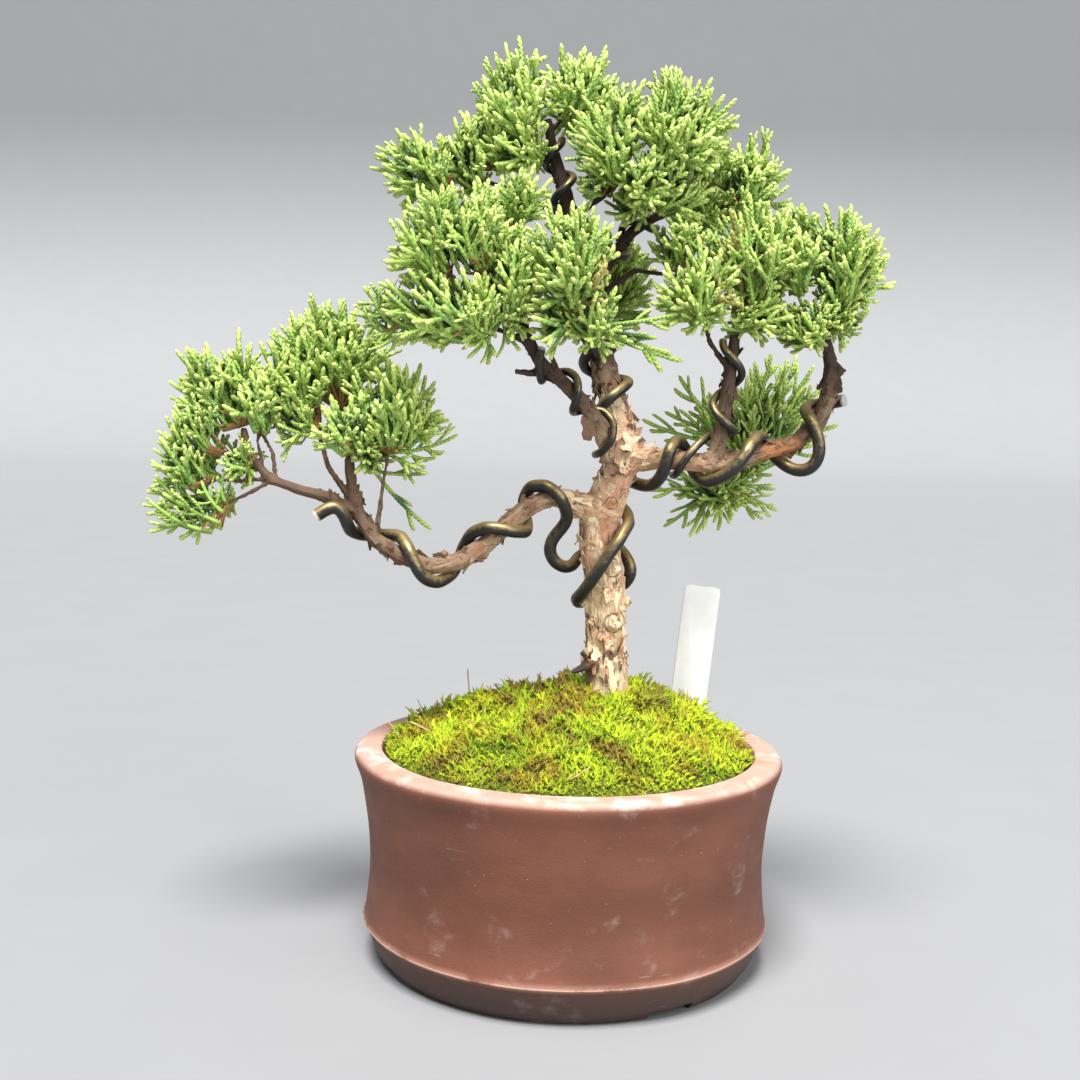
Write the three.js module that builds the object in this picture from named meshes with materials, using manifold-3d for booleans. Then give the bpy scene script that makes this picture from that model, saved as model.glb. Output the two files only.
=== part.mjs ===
// A kishu juniper bonsai, wired and growing in a round unglazed training pot.
// Millimetres, +Z up. X runs to the right across the front, Y away from the viewer.
// The tree is laid out on the pot's own axis, with the table at Z = 0, and the whole
// group is moved at the end so that its origin is the bottom centre of its box.
import * as THREE from "three";
import { mergeVertices } from "three/addons/utils/BufferGeometryUtils.js";
import Module from "manifold-3d";

const wasm = await Module();
wasm.setup();

const CLEARANCE = 0.3;
const SEED = 20451;

// Pot: thick rounded lip, waisted wall, a sharp ridge low down and a foot ring.
const POT_HEIGHT = 67.2;
const LIP_RADIUS = 68;
const LIP_DEPTH = 8;
const MOUTH_RADIUS = 59.1;
const WAIST_RADIUS = 62.9;
const WAIST_HEIGHT = 30;
const RIDGE_RADIUS = 64.8;
const RIDGE_HEIGHT = 12.6;
const FOOT_RADIUS = 58.2;
const FOOT_WIDTH = 8;
const FOOT_RECESS = 4;
const FLOOR_TOP = 10;
const FLOOR_RADIUS = 55;
const DRAIN_RADIUS = 11;
const POT_SIDES = 28;
const NOTCH_COUNT = 3;
const NOTCH_WIDTH = 15;
const NOTCH_HEIGHT = 2.8;
const FIRST_NOTCH_ANGLE = -57.5;

// Mesh screen over the drain hole.
const SCREEN_SIDE = 30;
const SCREEN_THICKNESS = 1;
const SCREEN_BAR = 2.4;
const SCREEN_BARS = 3;

// Soil and moss: the mound peaks beside the trunk and falls to the lip.
const MOUND_PEAK = [14, 12];
const MOUND_EDGE_HEIGHT = 66;
const MOUND_RISE = 18;
const MOUND_SWELL = 1.1;
const MOSS_THICKNESS = 6;
const MOUND_RADIUS = MOUTH_RADIUS - 0.6;
const MOUND_RINGS = [1, 0.88, 0.62, 0.32];

// Plant label.
const LABEL_WIDTH = 12;
const LABEL_LENGTH = 68;
const LABEL_THICKNESS = 1;
const LABEL_CORNER = 1.6;
const LABEL_POINT = 10;
const LABEL_TOP = [43.8, 25, 116.5];
const LABEL_LEAN = 5.4;

// Wood: each limb is a list of stations, [x, y, z, radius], from its root to its end.
const TRUNK = [
  [13, 6, 44, 4.5],
  [12.6, 6, 62, 7.5],
  [12.4, 6, 76, 8.6],
  [12.2, 6, 84, 7.2],
  [11.4, 5, 95, 6.5],
  [10.6, 4, 107, 6.4],
  [10.2, 3, 120, 6.6],
  [8.2, 2, 132, 6.7],
  [8.4, 2, 142, 6.8],
  [12, 2, 151, 5.9],
  [15.4, 2, 159, 6.0],
  [14.4, 3, 168, 5.4],
  [10.8, 5, 178, 4.7],
  [8.2, 7, 187, 4.2],
  [6, 8, 197, 3.6],
  [3.2, 8, 209, 3.2],
  [0.4, 6, 221, 2.9],
  [-3.1, 4, 233, 2.6],
  [-6.2, 3, 244, 2.3],
  [-9.5, 3, 254, 1.9],
  [-11.5, 3, 264, 1.4],
];
const LEFT_BRANCH = [
  [9.5, 2, 142, 5.0],
  [4, 0, 144, 4.4],
  [-3, -3, 146.5, 3.5],
  [-9.5, -6, 146.8, 3.0],
  [-16.8, -9, 142.3, 2.9],
  [-25.2, -12, 133.7, 3.0],
  [-34.8, -14, 127.1, 2.9],
  [-43.9, -15, 125.1, 2.8],
  [-53.2, -15, 128.3, 2.7],
  [-61.1, -14, 132.9, 2.5],
  [-66.3, -13, 140.4, 2.3],
  [-68.5, -12, 148, 1.9],
  [-70, -11, 158, 1.5],
];
const LEFT_TIP_BRANCH = [
  [-66.5, -13, 140, 2.0],
  [-72, -14, 144.6, 2.0],
  [-80, -14, 147, 1.9],
  [-88, -13.5, 148.4, 1.8],
  [-95, -12.5, 151.4, 1.6],
  [-100, -11, 156.5, 1.2],
  [-103.5, -8, 166, 1.0],
];
const UPPER_LEFT_BRANCH = [
  [12.5, 1, 157, 3.2],
  [8.6, -6, 166.8, 3.0],
  [4, -11, 174, 2.8],
  [-1.6, -15, 180.3, 2.6],
  [-8.4, -18, 185.2, 2.3],
  [-13.9, -20.5, 191.8, 2.0],
  [-17.7, -22, 199.1, 1.6],
  [-22, -24, 211, 1.1],
];
const RIGHT_BRANCH = [
  [15.4, 2, 159, 4.6],
  [22, 0.5, 159.6, 3.8],
  [32.7, -2, 159.4, 3.3],
  [41, -4, 158.4, 3.3],
  [49.6, -4, 159.9, 2.8],
  [59.1, -2, 162.6, 2.7],
  [68.7, 0, 165.5, 2.7],
  [75.4, 2, 171.4, 2.8],
  [78.9, 3, 180.8, 3.0],
  [79.2, 2, 190, 2.5],
  [77, 0, 198, 1.7],
  [77.5, -2, 208, 1.1],
];
const RIGHT_UPRIGHT = [
  [43.2, -4, 158.6, 2.9],
  [45, -6, 170.7, 2.5],
  [46, -8, 179.9, 2.4],
  [47.1, -8, 190.7, 2.1],
  [48, -8, 202, 1.3],
];
const GREY_BRANCH = [
  [2.5, 8, 211, 2.4],
  [9.5, 10.5, 222.5, 2.2],
  [16, 12, 231, 2.0],
  [25, 14.5, 237, 1.6],
  [38, 18, 241.5, 1.1],
];

// Twigs: short limbs from the branches into the foliage, as [x, y, z, radius] stations.
const TWIGS = [
  [[-96, -12, 152, 1.2], [-101, -12, 157.5, 1.0], [-96.5, -9, 166, 0.9], [-99, -6, 174, 0.8]],
  [[-92, -13, 150, 1.1], [-93, -12, 158, 1.0], [-98, -9, 166, 0.9]],
  [[-95, -12.5, 151, 1.1], [-103, -12, 149.8, 1.0], [-111.5, -10, 150, 0.8]],
  [[-94, -12.5, 150, 1.1], [-101, -13, 146, 1.0], [-108.5, -12, 142.5, 0.8]],
  [[-67.5, -13, 143, 1.7], [-74, -12, 150, 1.5], [-78, -8, 158, 1.2], [-82, -3, 168, 0.9]],
  [[-69, -12, 150, 1.6], [-71, -8, 162, 1.2], [-74, -2, 174, 0.9]],
  [[-61, -14, 133, 1.5], [-59.5, -15, 143, 1.1], [-58.5, -14, 154, 0.9], [-57, -12, 164, 0.8]],
  [[-15, -21, 194, 1.4], [-25, -25, 198, 1.2], [-36, -28, 203, 0.9]],
  [[-20, -23, 205, 1.2], [-30, -25, 214, 1.0], [-40, -26, 220, 0.8]],
  [[-10, -19, 187, 1.3], [-15, -23, 197, 1.0], [-17, -25, 207, 0.8]],
  [[7, 7, 190, 1.9], [5, -8, 194, 1.6], [2, -20, 199, 1.2], [-1, -30, 209, 0.9]],
  [[3, -16, 197, 1.3], [7, -26, 197, 1.0], [9, -31, 200, 0.8]],
  [[-3, 4, 233, 1.7], [-14, 2, 239, 1.3], [-27, 0, 243.5, 1.1], [-44, -3, 247, 0.8]],
  [[-8, 3, 250, 1.4], [-16, 2, 257, 1.1], [-23, 2, 264, 0.8]],
  [[-11, 3, 259, 1.3], [-6, 5, 266, 1.0], [-2, 6, 271, 0.8]],
  [[-3, 4, 234, 1.8], [6, 0, 240, 1.4], [11, -6, 250, 1.0]],
  [[4, 1, 239, 1.4], [15, -3, 247, 1.1], [25, -4, 256, 0.8]],
  [[33, 17, 240, 1.3], [44, 19, 244, 1.0], [51, 20, 247, 0.8]],
  [[3.4, 8, 208, 1.9], [12, 3, 215, 1.5], [22, -6, 219, 1.2], [32, -11, 215, 0.9]],
  [[46.6, -8, 187, 1.5], [40, -9, 196, 1.2], [37, -11, 207, 0.8]],
  [[47.5, -8, 195, 1.4], [52, -8, 206, 1.1], [54, -8, 217, 0.8]],
  [[78, 1, 194, 1.5], [72, -5, 199, 1.1], [70.5, -8, 203, 0.8]],
  [[77, -1, 203, 1.4], [80, -4, 211, 1.1], [80, -6, 219, 0.8]],
  [[48, -3, 159.4, 2.0], [50, 9, 159, 1.6], [52, 20, 160, 1.2], [55, 29, 165, 0.8]],
  [[50, 12, 159, 1.3], [50, 20, 154, 1.0], [49, 25, 149, 0.8]],
  [[7.5, 7, 189, 2.0], [8, 18, 198, 1.5], [7, 30, 211, 0.9]],
];

// Knobs, pruning stubs and swellings on the bark: [x, y, z, radius].
const KNOBS = [
  [13.4, -1.6, 124.6, 2.5],
  [13.8, -1, 106.4, 3.0],
  [9.2, -2.4, 102.1, 1.6],
  [10.6, -2.6, 117.4, 1.3],
  [6, -0.6, 107, 1.4],
  [4.4, 1, 112.6, 1.5],
  [5, 1, 96.6, 2.4],
  [10.8, -1, 90, 1.9],
  [17.6, 2, 113.4, 1.9],
  [13, -3.6, 146, 1.4],
  [13.8, -3.4, 157.4, 1.7],
  [20, 0, 165, 2.4],
  [17.5, -1, 170.5, 2.0],
  [-39.5, -15.5, 129.5, 1.6],
  [81.6, 1.5, 188.5, 2.6],
  [-12, -7.5, 146.6, 1.5],
];

// Stubs where dead twigs were cut, as short limbs.
const STUBS = [
  [[5.5, 2, 93, 2.2], [2.4, -1, 91.6, 1.2], [0.2, -2, 91, 0.9]],
  [[-10, -18.5, 186, 1.7], [-15.5, -19.5, 184.8, 1.1], [-19, -20, 185.4, 0.9]],
  [[11, -1, 93, 1.6], [11.6, -2.6, 90, 1.1], [11.8, -2.9, 87.6, 0.9]],
];

const BRANCHES = [
  LEFT_BRANCH,
  LEFT_TIP_BRANCH,
  UPPER_LEFT_BRANCH,
  RIGHT_BRANCH,
  RIGHT_UPRIGHT,
  GREY_BRANCH,
];
const BARK_RELIEF = 0.03;
const HIGHEST_RIDGE = 1.7;
const SMOOTH_RADIUS = 2.2;
const TRUNK_SECTION = { sides: 9, step: 11 };
const BRANCH_SECTION = { sides: 6, step: 9 };
const TWIG_SECTION = { sides: 3, step: 18 };
const STUB_SECTION = { sides: 4, step: 6 };

// Wires. A wound wire crosses the front of its limb at the given distances from the limb's
// root, and its hand says which way it climbs. Its lead and tail are points on its route
// before and after those turns.
const THICK_WIRE = 2.0;
const MIDDLE_WIRE = 1.7;
const THIN_WIRE = 1.25;
const POINTS_PER_TURN = 8;
const WIRE_STEP = 5;
const CLEARING_PASSES = 6;
const SMOOTHING_SHARE = 0.3;
const THICK_WIRE_SIDES = 6;
const THIN_WIRE_SIDES = 4;
const BEAD_SPACING = 1.5;
const WIRES = {
  wire_trunk: {
    radius: THICK_WIRE,
    lead: [
      [10, 12.5, 134], [15.5, 11.5, 129.5], [19, 7.5, 126], [19.9, 4.5, 121.8], [17.5, 9.5, 118],
      [11, 12.8, 114.5], [4.5, 9.5, 111.5], [1.4, 3.6, 112], [3, -3, 116], [7, -6.4, 122.5],
      [11.2, -6.6, 130], [15.2, -3.6, 136.4], [17.3, 1.5, 140], [15.5, 8, 143.5], [9.5, 11.4, 147],
    ],
  },
  wire_left_branch: {
    limb: LEFT_BRANCH, radius: THICK_WIRE, hand: 1, slack: 0.3,
    crossings: [17.7, 38.5, 68.8], before: 0.12, after: 0.7,
    lead: [
      [8, 11.5, 134], [3, 8, 130.4], [1, 3.2, 126.6], [-2.2, -0.6, 124], [-6.8, -2.6, 125.6],
      [-9.2, -3.4, 130.6], [-8, -2.6, 135.4], [-4.6, -2.8, 138.6],
    ],
    tail: [[-68.8, -15.4, 133.4], [-71.4, -16.5, 138.6], [-74.4, -18.2, 141.6], [-79.5, -19.4, 140.4]],
  },
  wire_right_branch: {
    radius: THICK_WIRE,
    lead: [
      [14, 8.5, 153], [19.4, 6, 151.8], [22.2, 2, 150], [25.4, -3, 150], [27.8, -6.4, 154],
      [28.6, -7.4, 159.5], [29.4, -6, 165], [31.6, -2, 168], [34, 2.6, 165], [35.8, 4, 160],
      [37.4, 0.5, 155], [41, -5, 153], [45.8, -8.6, 153.8], [50, -9.6, 157], [52.5, -9.4, 161.6],
      [54.2, -7, 166], [57, -3, 168.4], [60, 2, 167], [62.4, 4, 162.6], [64.6, 2, 158.4],
      [67.9, -1, 156.4], [71.9, -3.4, 155.6], [75.6, -5, 158.1], [77, -5.6, 163.3],
      [75.6, -5, 168.4], [72.8, -2.6, 173], [72.6, 3, 176.4], [77, 7.8, 178], [83.6, 7.6, 179.2],
    ],
  },
  wire_upper_trunk: {
    limb: TRUNK, radius: MIDDLE_WIRE, hand: 1, slack: 0.5,
    crossings: [136, 154.5, 172], before: 0.4, after: 0.3,
  },
  wire_upper_left: {
    limb: UPPER_LEFT_BRANCH, radius: THIN_WIRE, hand: 1, slack: 0.2,
    crossings: [11.5, 31, 47], before: 0.3, after: 0.2,
  },
  wire_right_upright: {
    limb: RIGHT_UPRIGHT, radius: THIN_WIRE, hand: -1, slack: 0.2,
    crossings: [14.5, 33], before: 0.3, after: 0.3,
    lead: [
      [30.6, 0.5, 154.6], [31.6, -4.6, 155.6], [34, -7.6, 160.5], [38, -6.8, 165.4],
      [41.4, -3, 168], [45, -1.4, 168.6],
    ],
  },
  wire_grey_branch: {
    limb: GREY_BRANCH, radius: THIN_WIRE, hand: 1, slack: 0.2,
    crossings: [14, 28], before: 0.4, after: 0.4,
  },
  wire_apex: {
    limb: TRUNK, radius: THIN_WIRE, hand: 1, slack: 0.3,
    crossings: [192, 204, 216], before: 0.3, after: 0.3,
  },
};

// Foliage pads. Each lobe has the heart that its shoots spread from, the centre and the
// reach of its outline, the share of that outline that its dense middle fills, and the
// tips of the shoots that stand out furthest.
const DENSE = 0.7;
const OPEN = 0.34;
const PADS = {
  foliage_left_tip: [
    {
      heart: [-101, -7, 170], centre: [-115, -6, 181], reach: [14, 15, 14], fill: DENSE,
      tips: [[-130, -6, 197], [-128.6, -6, 180.5], [-116.7, -6, 195]],
    },
    {
      heart: [-112, -10, 151], centre: [-122, -8, 155], reach: [12, 12, 10], fill: DENSE,
      tips: [[-131.5, -10, 152.6], [-131, -10, 163]],
    },
    {
      heart: [-109, -12, 143], centre: [-121, -12, 140], reach: [16, 13, 9], fill: OPEN,
      tips: [[-134.7, -12, 142.3], [-133.5, -12, 131.1], [-127.8, -12, 127.8], [-120, -14, 130]],
    },
  ],
  foliage_left_dome: [
    {
      heart: [-80, -4, 166], centre: [-90, -2, 181], reach: [15, 17, 16], fill: DENSE,
      tips: [[-98, -3, 196.9], [-90.4, -2, 204]],
    },
    {
      heart: [-74, -2, 172], centre: [-77, 5, 191], reach: [17, 18, 17], fill: DENSE,
      tips: [[-82.9, 0, 208.1]],
    },
    {
      heart: [-58, -13, 160], centre: [-56, -10, 174], reach: [18, 18, 15], fill: DENSE,
      tips: [[-45.6, -6, 186], [-41.6, -8, 174.6], [-36.7, -8, 159], [-46.3, -12, 152]],
    },
    { heart: [-66, -11, 162], centre: [-70, -14, 168], reach: [14, 13, 10], fill: DENSE },
    {
      heart: [-60, -12, 153], centre: [-55, -11, 143], reach: [8, 7, 8], fill: OPEN,
      tips: [[-58.7, -10, 132.8], [-48.3, -10, 133.1], [-48, -12, 141]],
    },
  ],
  foliage_front_left: [
    {
      heart: [-38, -26, 215], centre: [-46, -26, 224], reach: [15, 15, 15], fill: DENSE,
      tips: [[-61.9, -26, 215], [-59.9, -26, 222]],
    },
    { heart: [-27, -25, 214], centre: [-33, -26, 227], reach: [15, 16, 15], fill: DENSE },
    {
      heart: [-28, -27, 202], centre: [-39, -29, 204], reach: [22, 17, 12], fill: DENSE,
      tips: [[-62, -27, 207], [-52, -28, 192]],
    },
    { heart: [-20, -24, 206], centre: [-19, -25, 214], reach: [12, 15, 17], fill: DENSE },
  ],
  foliage_front_centre: [
    {
      heart: [0, -31, 208], centre: [-3, -35, 217], reach: [13, 13, 17], fill: DENSE,
      tips: [[-4.7, -33, 234.5], [6.1, -33, 228.8]],
    },
    {
      heart: [8, -30, 199], centre: [8, -35, 201], reach: [15, 12, 11], fill: DENSE,
      tips: [[22, -33, 210], [24.4, -33, 201], [24.3, -33, 189]],
    },
  ],
  foliage_upper_left: [
    {
      heart: [-40, -2, 246], centre: [-52, -4, 249], reach: [14, 15, 11], fill: DENSE,
      tips: [[-54.2, -3, 260.3], [-65.1, -3, 250.1], [-66.3, -3, 243]],
    },
    {
      heart: [-31, 0, 244], centre: [-37, 0, 250], reach: [12, 14, 10], fill: DENSE,
      tips: [[-43.4, -3, 263.7]],
    },
  ],
  foliage_apex: [
    {
      heart: [-19, 2, 261], centre: [-25, 2, 268], reach: [17, 17, 17], fill: DENSE,
      tips: [[-31, 3, 284.5], [-17.2, 3, 289.8]],
    },
    {
      heart: [-4, 5, 268], centre: [-1, 6, 274], reach: [15, 16, 15], fill: DENSE,
      tips: [[-10.4, 3, 287.6], [1.1, 3, 288.2], [8.8, 3, 286.8]],
    },
  ],
  foliage_crown_right: [
    { heart: [10, -6, 249], centre: [9, -10, 256], reach: [14, 16, 15], fill: DENSE },
    {
      heart: [22, -4, 253], centre: [28, -5, 261], reach: [18, 18, 18], fill: DENSE,
      tips: [[23.6, -6, 279.2], [30, -6, 280.2], [40.7, -6, 274], [48.1, -6, 264], [46.8, -6, 255]],
    },
    { heart: [17, -9, 248], centre: [19, -14, 244], reach: [14, 12, 9], fill: DENSE },
  ],
  foliage_high_right: [
    {
      heart: [48, 19, 245], centre: [53, 21, 248], reach: [16, 16, 14], fill: DENSE,
      tips: [[55.6, 20, 263.6], [65.2, 20, 262.8], [69.2, 20, 250.6]],
    },
    { heart: [40, 18, 241], centre: [39, 19, 242], reach: [12, 14, 11], fill: DENSE },
  ],
  foliage_right_inner: [
    {
      heart: [36, -11, 208], centre: [36, -12, 214], reach: [14, 15, 15], fill: DENSE,
      tips: [[19.1, -10, 223.1], [21.6, -10, 207]],
    },
    { heart: [53, -8, 212], centre: [54, -8, 222], reach: [15, 17, 18], fill: DENSE },
  ],
  foliage_right_outer: [
    {
      heart: [79, -4, 212], centre: [82, -5, 222], reach: [15, 17, 18], fill: DENSE,
      tips: [[79.4, -5, 241.1], [94, -5, 234], [97, -5, 222.5], [93.5, -5, 206.4]],
    },
    {
      heart: [72, -8, 203], centre: [70, -11, 203], reach: [13, 12, 8], fill: DENSE,
      tips: [[57.8, -10, 199.9]],
    },
  ],
  foliage_right_back: [
    { heart: [54, 27, 164], centre: [58, 31, 168], reach: [24, 18, 18], fill: OPEN },
    { heart: [49, 24, 152], centre: [48, 27, 146], reach: [18, 14, 14], fill: OPEN },
  ],
  foliage_back: [
    { heart: [7, 28, 209], centre: [7, 33, 216], reach: [20, 18, 17], fill: DENSE },
  ],
};
const SHOOT_SPACING = 13.4;
const SHOOT_RADIUS = 1.15;
const SHOOT_SIDES = 3;
const FORK_SHARE = 0.1;
const SHORTEST_SHOOT = 0.88;
const LONGEST_SHOOT = 1.084;
const BURIED_DEPTH = 0.86;
const CORE_MARGIN = 1.25;
const CORE_SWELL = 1.06;
const SIDE_SHOOT_START = 0.55;
const SIDE_SHOOT_SPREAD = 0.28;
const SIDE_SHOOT_SET_BACK = 0.08;
const ROOT_SHARE = 0.8;
const NECK_RADIUS = 6.5;
const NECK_SIDES = 5;

const MATERIALS = {
  clay: material(0x8a6557, 0.85),
  mesh: material(0x2c2d2b, 0.7),
  soil: material(0x4a3a2c, 1),
  moss: material(0x8a9a2a, 1),
  label: material(0xf2f2ee, 0.45),
  bark: material(0xa07a62, 0.9),
  wire: material(0x4a4232, 0.4, 0.6),
  foliage: material(0x6f9a48, 0.7),
};

function material(color, roughness, metalness = 0) {
  return new THREE.MeshStandardMaterial({ color, roughness, metalness });
}

// Repeatable random numbers between 0 and 1.
function randomFrom(seed) {
  let state = seed;
  return () => {
    state = (state + 0x6d2b79f5) | 0;
    let t = Math.imul(state ^ (state >>> 15), 1 | state);
    t = (t + Math.imul(t ^ (t >>> 7), 61 | t)) ^ t;
    return ((t ^ (t >>> 14)) >>> 0) / 4294967296;
  };
}

// A solid from a closed geometry.
function solidOf(geometry) {
  const bare = geometry.clone();
  bare.deleteAttribute("normal");
  bare.deleteAttribute("uv");
  const merged = mergeVertices(bare, 1e-4);
  const solid = new wasm.Manifold(
    new wasm.Mesh({
      numProp: 3,
      vertProperties: new Float32Array(merged.attributes.position.array),
      triVerts: new Uint32Array(merged.index.array),
    }),
  );
  return solid;
}

// One solid from many, added in pairs.
function join(solids) {
  let joined = solids;
  while (joined.length > 1) {
    const next = [];
    for (let i = 0; i < joined.length; i += 2) {
      next.push(i + 1 < joined.length ? joined[i].add(joined[i + 1]) : joined[i]);
    }
    joined = next;
  }
  return joined[0];
}

function largestBody(solid) {
  const bodies = solid.decompose();
  return bodies.reduce((best, body) => (body.volume() > best.volume() ? body : best));
}

function meshOf(name, solid, look) {
  const { vertProperties, triVerts } = solid.getMesh();
  const geometry = new THREE.BufferGeometry();
  geometry.setAttribute("position", new THREE.BufferAttribute(vertProperties, 3));
  geometry.setIndex(new THREE.BufferAttribute(triVerts, 1));
  geometry.computeVertexNormals();
  const mesh = new THREE.Mesh(geometry, look);
  mesh.name = name;
  return mesh;
}

// A turned shape about the Z axis. The profile is a closed outline of [radius, height].
function turned(profile, sides) {
  const points = profile.map(([radius, height]) => new THREE.Vector2(radius, height));
  return new THREE.LatheGeometry(points, sides).rotateX(Math.PI / 2);
}

// An arc of an outline, from one angle to another in degrees, as [radius, height] points.
function arc(centreRadius, centreHeight, size, fromAngle, toAngle, steps) {
  return Array.from({ length: steps + 1 }, (_, i) => {
    const angle = THREE.MathUtils.degToRad(fromAngle + ((toAngle - fromAngle) * i) / steps);
    return [centreRadius + size * Math.cos(angle), centreHeight + size * Math.sin(angle)];
  });
}

// The wall's radius between the ridge and the lip, narrowest at the waist.
function wallRadius(height) {
  const above = (height - WAIST_HEIGHT) / (POT_HEIGHT - LIP_DEPTH - WAIST_HEIGHT);
  const below = (WAIST_HEIGHT - height) / (WAIST_HEIGHT - RIDGE_HEIGHT);
  const flare = height > WAIST_HEIGHT ? 3.4 * above ** 1.8 : 1.5 * below ** 1.6;
  return WAIST_RADIUS + flare;
}

function potProfile() {
  const lip = arc(LIP_RADIUS - 4, POT_HEIGHT - 4, 4, -15, 90, 3);
  const wall = [21, 30, 39, 48, 56].map((height) => [wallRadius(height), height]);
  return [
    [DRAIN_RADIUS, FOOT_RECESS],
    [FOOT_RADIUS - FOOT_WIDTH, FOOT_RECESS],
    [FOOT_RADIUS - FOOT_WIDTH, 0],
    [FOOT_RADIUS, 0],
    [FOOT_RADIUS + 3, 4],
    [RIDGE_RADIUS - 1, RIDGE_HEIGHT - 1.6],
    [RIDGE_RADIUS, RIDGE_HEIGHT],
    [RIDGE_RADIUS - 0.6, RIDGE_HEIGHT + 1],
    ...wall,
    ...lip,
    [MOUTH_RADIUS, POT_HEIGHT],
    [FLOOR_RADIUS + 1.5, FLOOR_TOP + 3],
    [FLOOR_RADIUS - 1.5, FLOOR_TOP],
    [DRAIN_RADIUS, FLOOR_TOP],
    [DRAIN_RADIUS, FOOT_RECESS],
  ];
}

function potSolid() {
  let pot = solidOf(turned(potProfile(), POT_SIDES));
  for (let i = 0; i < NOTCH_COUNT; i += 1) {
    const angle = THREE.MathUtils.degToRad(FIRST_NOTCH_ANGLE + (360 / NOTCH_COUNT) * i);
    const notch = new THREE.BoxGeometry(2 * FOOT_WIDTH + 8, NOTCH_WIDTH, 2 * NOTCH_HEIGHT)
      .translate(FOOT_RADIUS, 0, 0)
      .rotateZ(angle);
    pot = pot.subtract(solidOf(notch));
  }
  return pot;
}

function screenSolid() {
  const bars = [];
  const pitch = (SCREEN_SIDE - SCREEN_BAR) / (SCREEN_BARS - 1);
  for (let i = 0; i < SCREEN_BARS; i += 1) {
    const offset = -(SCREEN_SIDE - SCREEN_BAR) / 2 + pitch * i;
    const height = FLOOR_TOP + CLEARANCE + SCREEN_THICKNESS / 2;
    const along = new THREE.BoxGeometry(SCREEN_SIDE, SCREEN_BAR, SCREEN_THICKNESS);
    const across = new THREE.BoxGeometry(SCREEN_BAR, SCREEN_SIDE, SCREEN_THICKNESS);
    bars.push(solidOf(along.translate(0, offset, height)));
    bars.push(solidOf(across.translate(offset, 0, height)));
  }
  return join(bars);
}

// The mound's height over a point, by how far out it lies from the peak (0) to the edge (1).
function moundHeight(x, y, outward) {
  const swell = Math.sin(x * 0.19 + 1.1) * Math.cos(y * 0.17) + 0.6 * Math.sin(x * 0.37 - y * 0.29);
  const leftHump = 2.4 * Math.exp(-((x + 46) ** 2 + (y - 6) ** 2) / 120);
  const fade = 1 - outward ** 4;
  return MOUND_EDGE_HEIGHT + MOUND_RISE * (1 - outward ** 1.9) + (MOUND_SWELL * swell + leftHump) * fade;
}

// A slab that follows the mound, between two heights counted from the mound's surface.
function moundSlab(top, bottom) {
  const underside = MOUND_RINGS.toReversed().map((share) => [MOUND_RADIUS * share, bottom]);
  const upside = MOUND_RINGS.map((share) => [MOUND_RADIUS * share, top]);
  const blank = turned([[0, bottom], ...underside, ...upside, [0, top]], POT_SIDES);
  const place = blank.attributes.position;
  for (let i = 0; i < place.count; i += 1) {
    const outward = Math.hypot(place.getX(i), place.getY(i)) / MOUND_RADIUS;
    const x = place.getX(i) + MOUND_PEAK[0] * (1 - outward);
    const y = place.getY(i) + MOUND_PEAK[1] * (1 - outward);
    place.setXYZ(i, x, y, moundHeight(x, y, outward) + place.getZ(i));
  }
  return solidOf(blank);
}

function mossSolid() {
  return moundSlab(0, -MOSS_THICKNESS);
}

function soilSolid() {
  const bottom = FLOOR_TOP + CLEARANCE;
  const block = turned(
    [
      [0, bottom],
      [FLOOR_RADIUS - 1.4, bottom],
      [FLOOR_RADIUS + 1.1, bottom + 2.7],
      [MOUND_RADIUS - CLEARANCE, POT_HEIGHT],
      [MOUND_RADIUS - CLEARANCE, POT_HEIGHT + MOUND_RISE],
      [0, POT_HEIGHT + MOUND_RISE],
    ],
    POT_SIDES,
  );
  const screenSide = SCREEN_SIDE + 2 * CLEARANCE;
  const seat = new THREE.BoxGeometry(screenSide, screenSide, 2 * SCREEN_THICKNESS + 2 * CLEARANCE);
  return solidOf(block)
    .subtract(moundSlab(2 * MOUND_RISE, -MOSS_THICKNESS - CLEARANCE))
    .subtract(solidOf(seat.translate(0, 0, bottom)));
}

// The label, or the slot that it stands in when it is grown by the clearance.
function labelSolid(grow = 0) {
  const half = LABEL_WIDTH / 2 + grow;
  const outline = new THREE.Shape();
  outline.moveTo(-half, -LABEL_LENGTH + LABEL_POINT);
  outline.lineTo(-1.5, -LABEL_LENGTH - grow);
  outline.lineTo(1.5, -LABEL_LENGTH - grow);
  outline.lineTo(half, -LABEL_LENGTH + LABEL_POINT);
  outline.absarc(half - LABEL_CORNER, -LABEL_CORNER + grow, LABEL_CORNER, 0, Math.PI / 2);
  outline.absarc(-half + LABEL_CORNER, -LABEL_CORNER + grow, LABEL_CORNER, Math.PI / 2, Math.PI);
  outline.closePath();
  const depth = LABEL_THICKNESS + 2 * grow;
  const tag = new THREE.ExtrudeGeometry(outline, { depth, bevelEnabled: false, curveSegments: 4 });
  return solidOf(
    tag
      .translate(0, 0, -depth / 2)
      .rotateX(Math.PI / 2)
      .rotateY(THREE.MathUtils.degToRad(LABEL_LEAN))
      .translate(...LABEL_TOP),
  );
}

// A limb's centre line, with its radius at any share of its length.
function limbLine(stations) {
  const points = stations.map(([x, y, z]) => new THREE.Vector3(x, y, z));
  const curve = new THREE.CatmullRomCurve3(points, false, "centripetal");
  const radiusAt = (share) => {
    const along = curve.getUtoTmapping(share) * (stations.length - 1);
    const index = Math.min(Math.floor(along), stations.length - 2);
    return THREE.MathUtils.lerp(stations[index][3], stations[index + 1][3], along - index);
  };
  return { curve, radiusAt, length: curve.getLength() };
}

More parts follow.
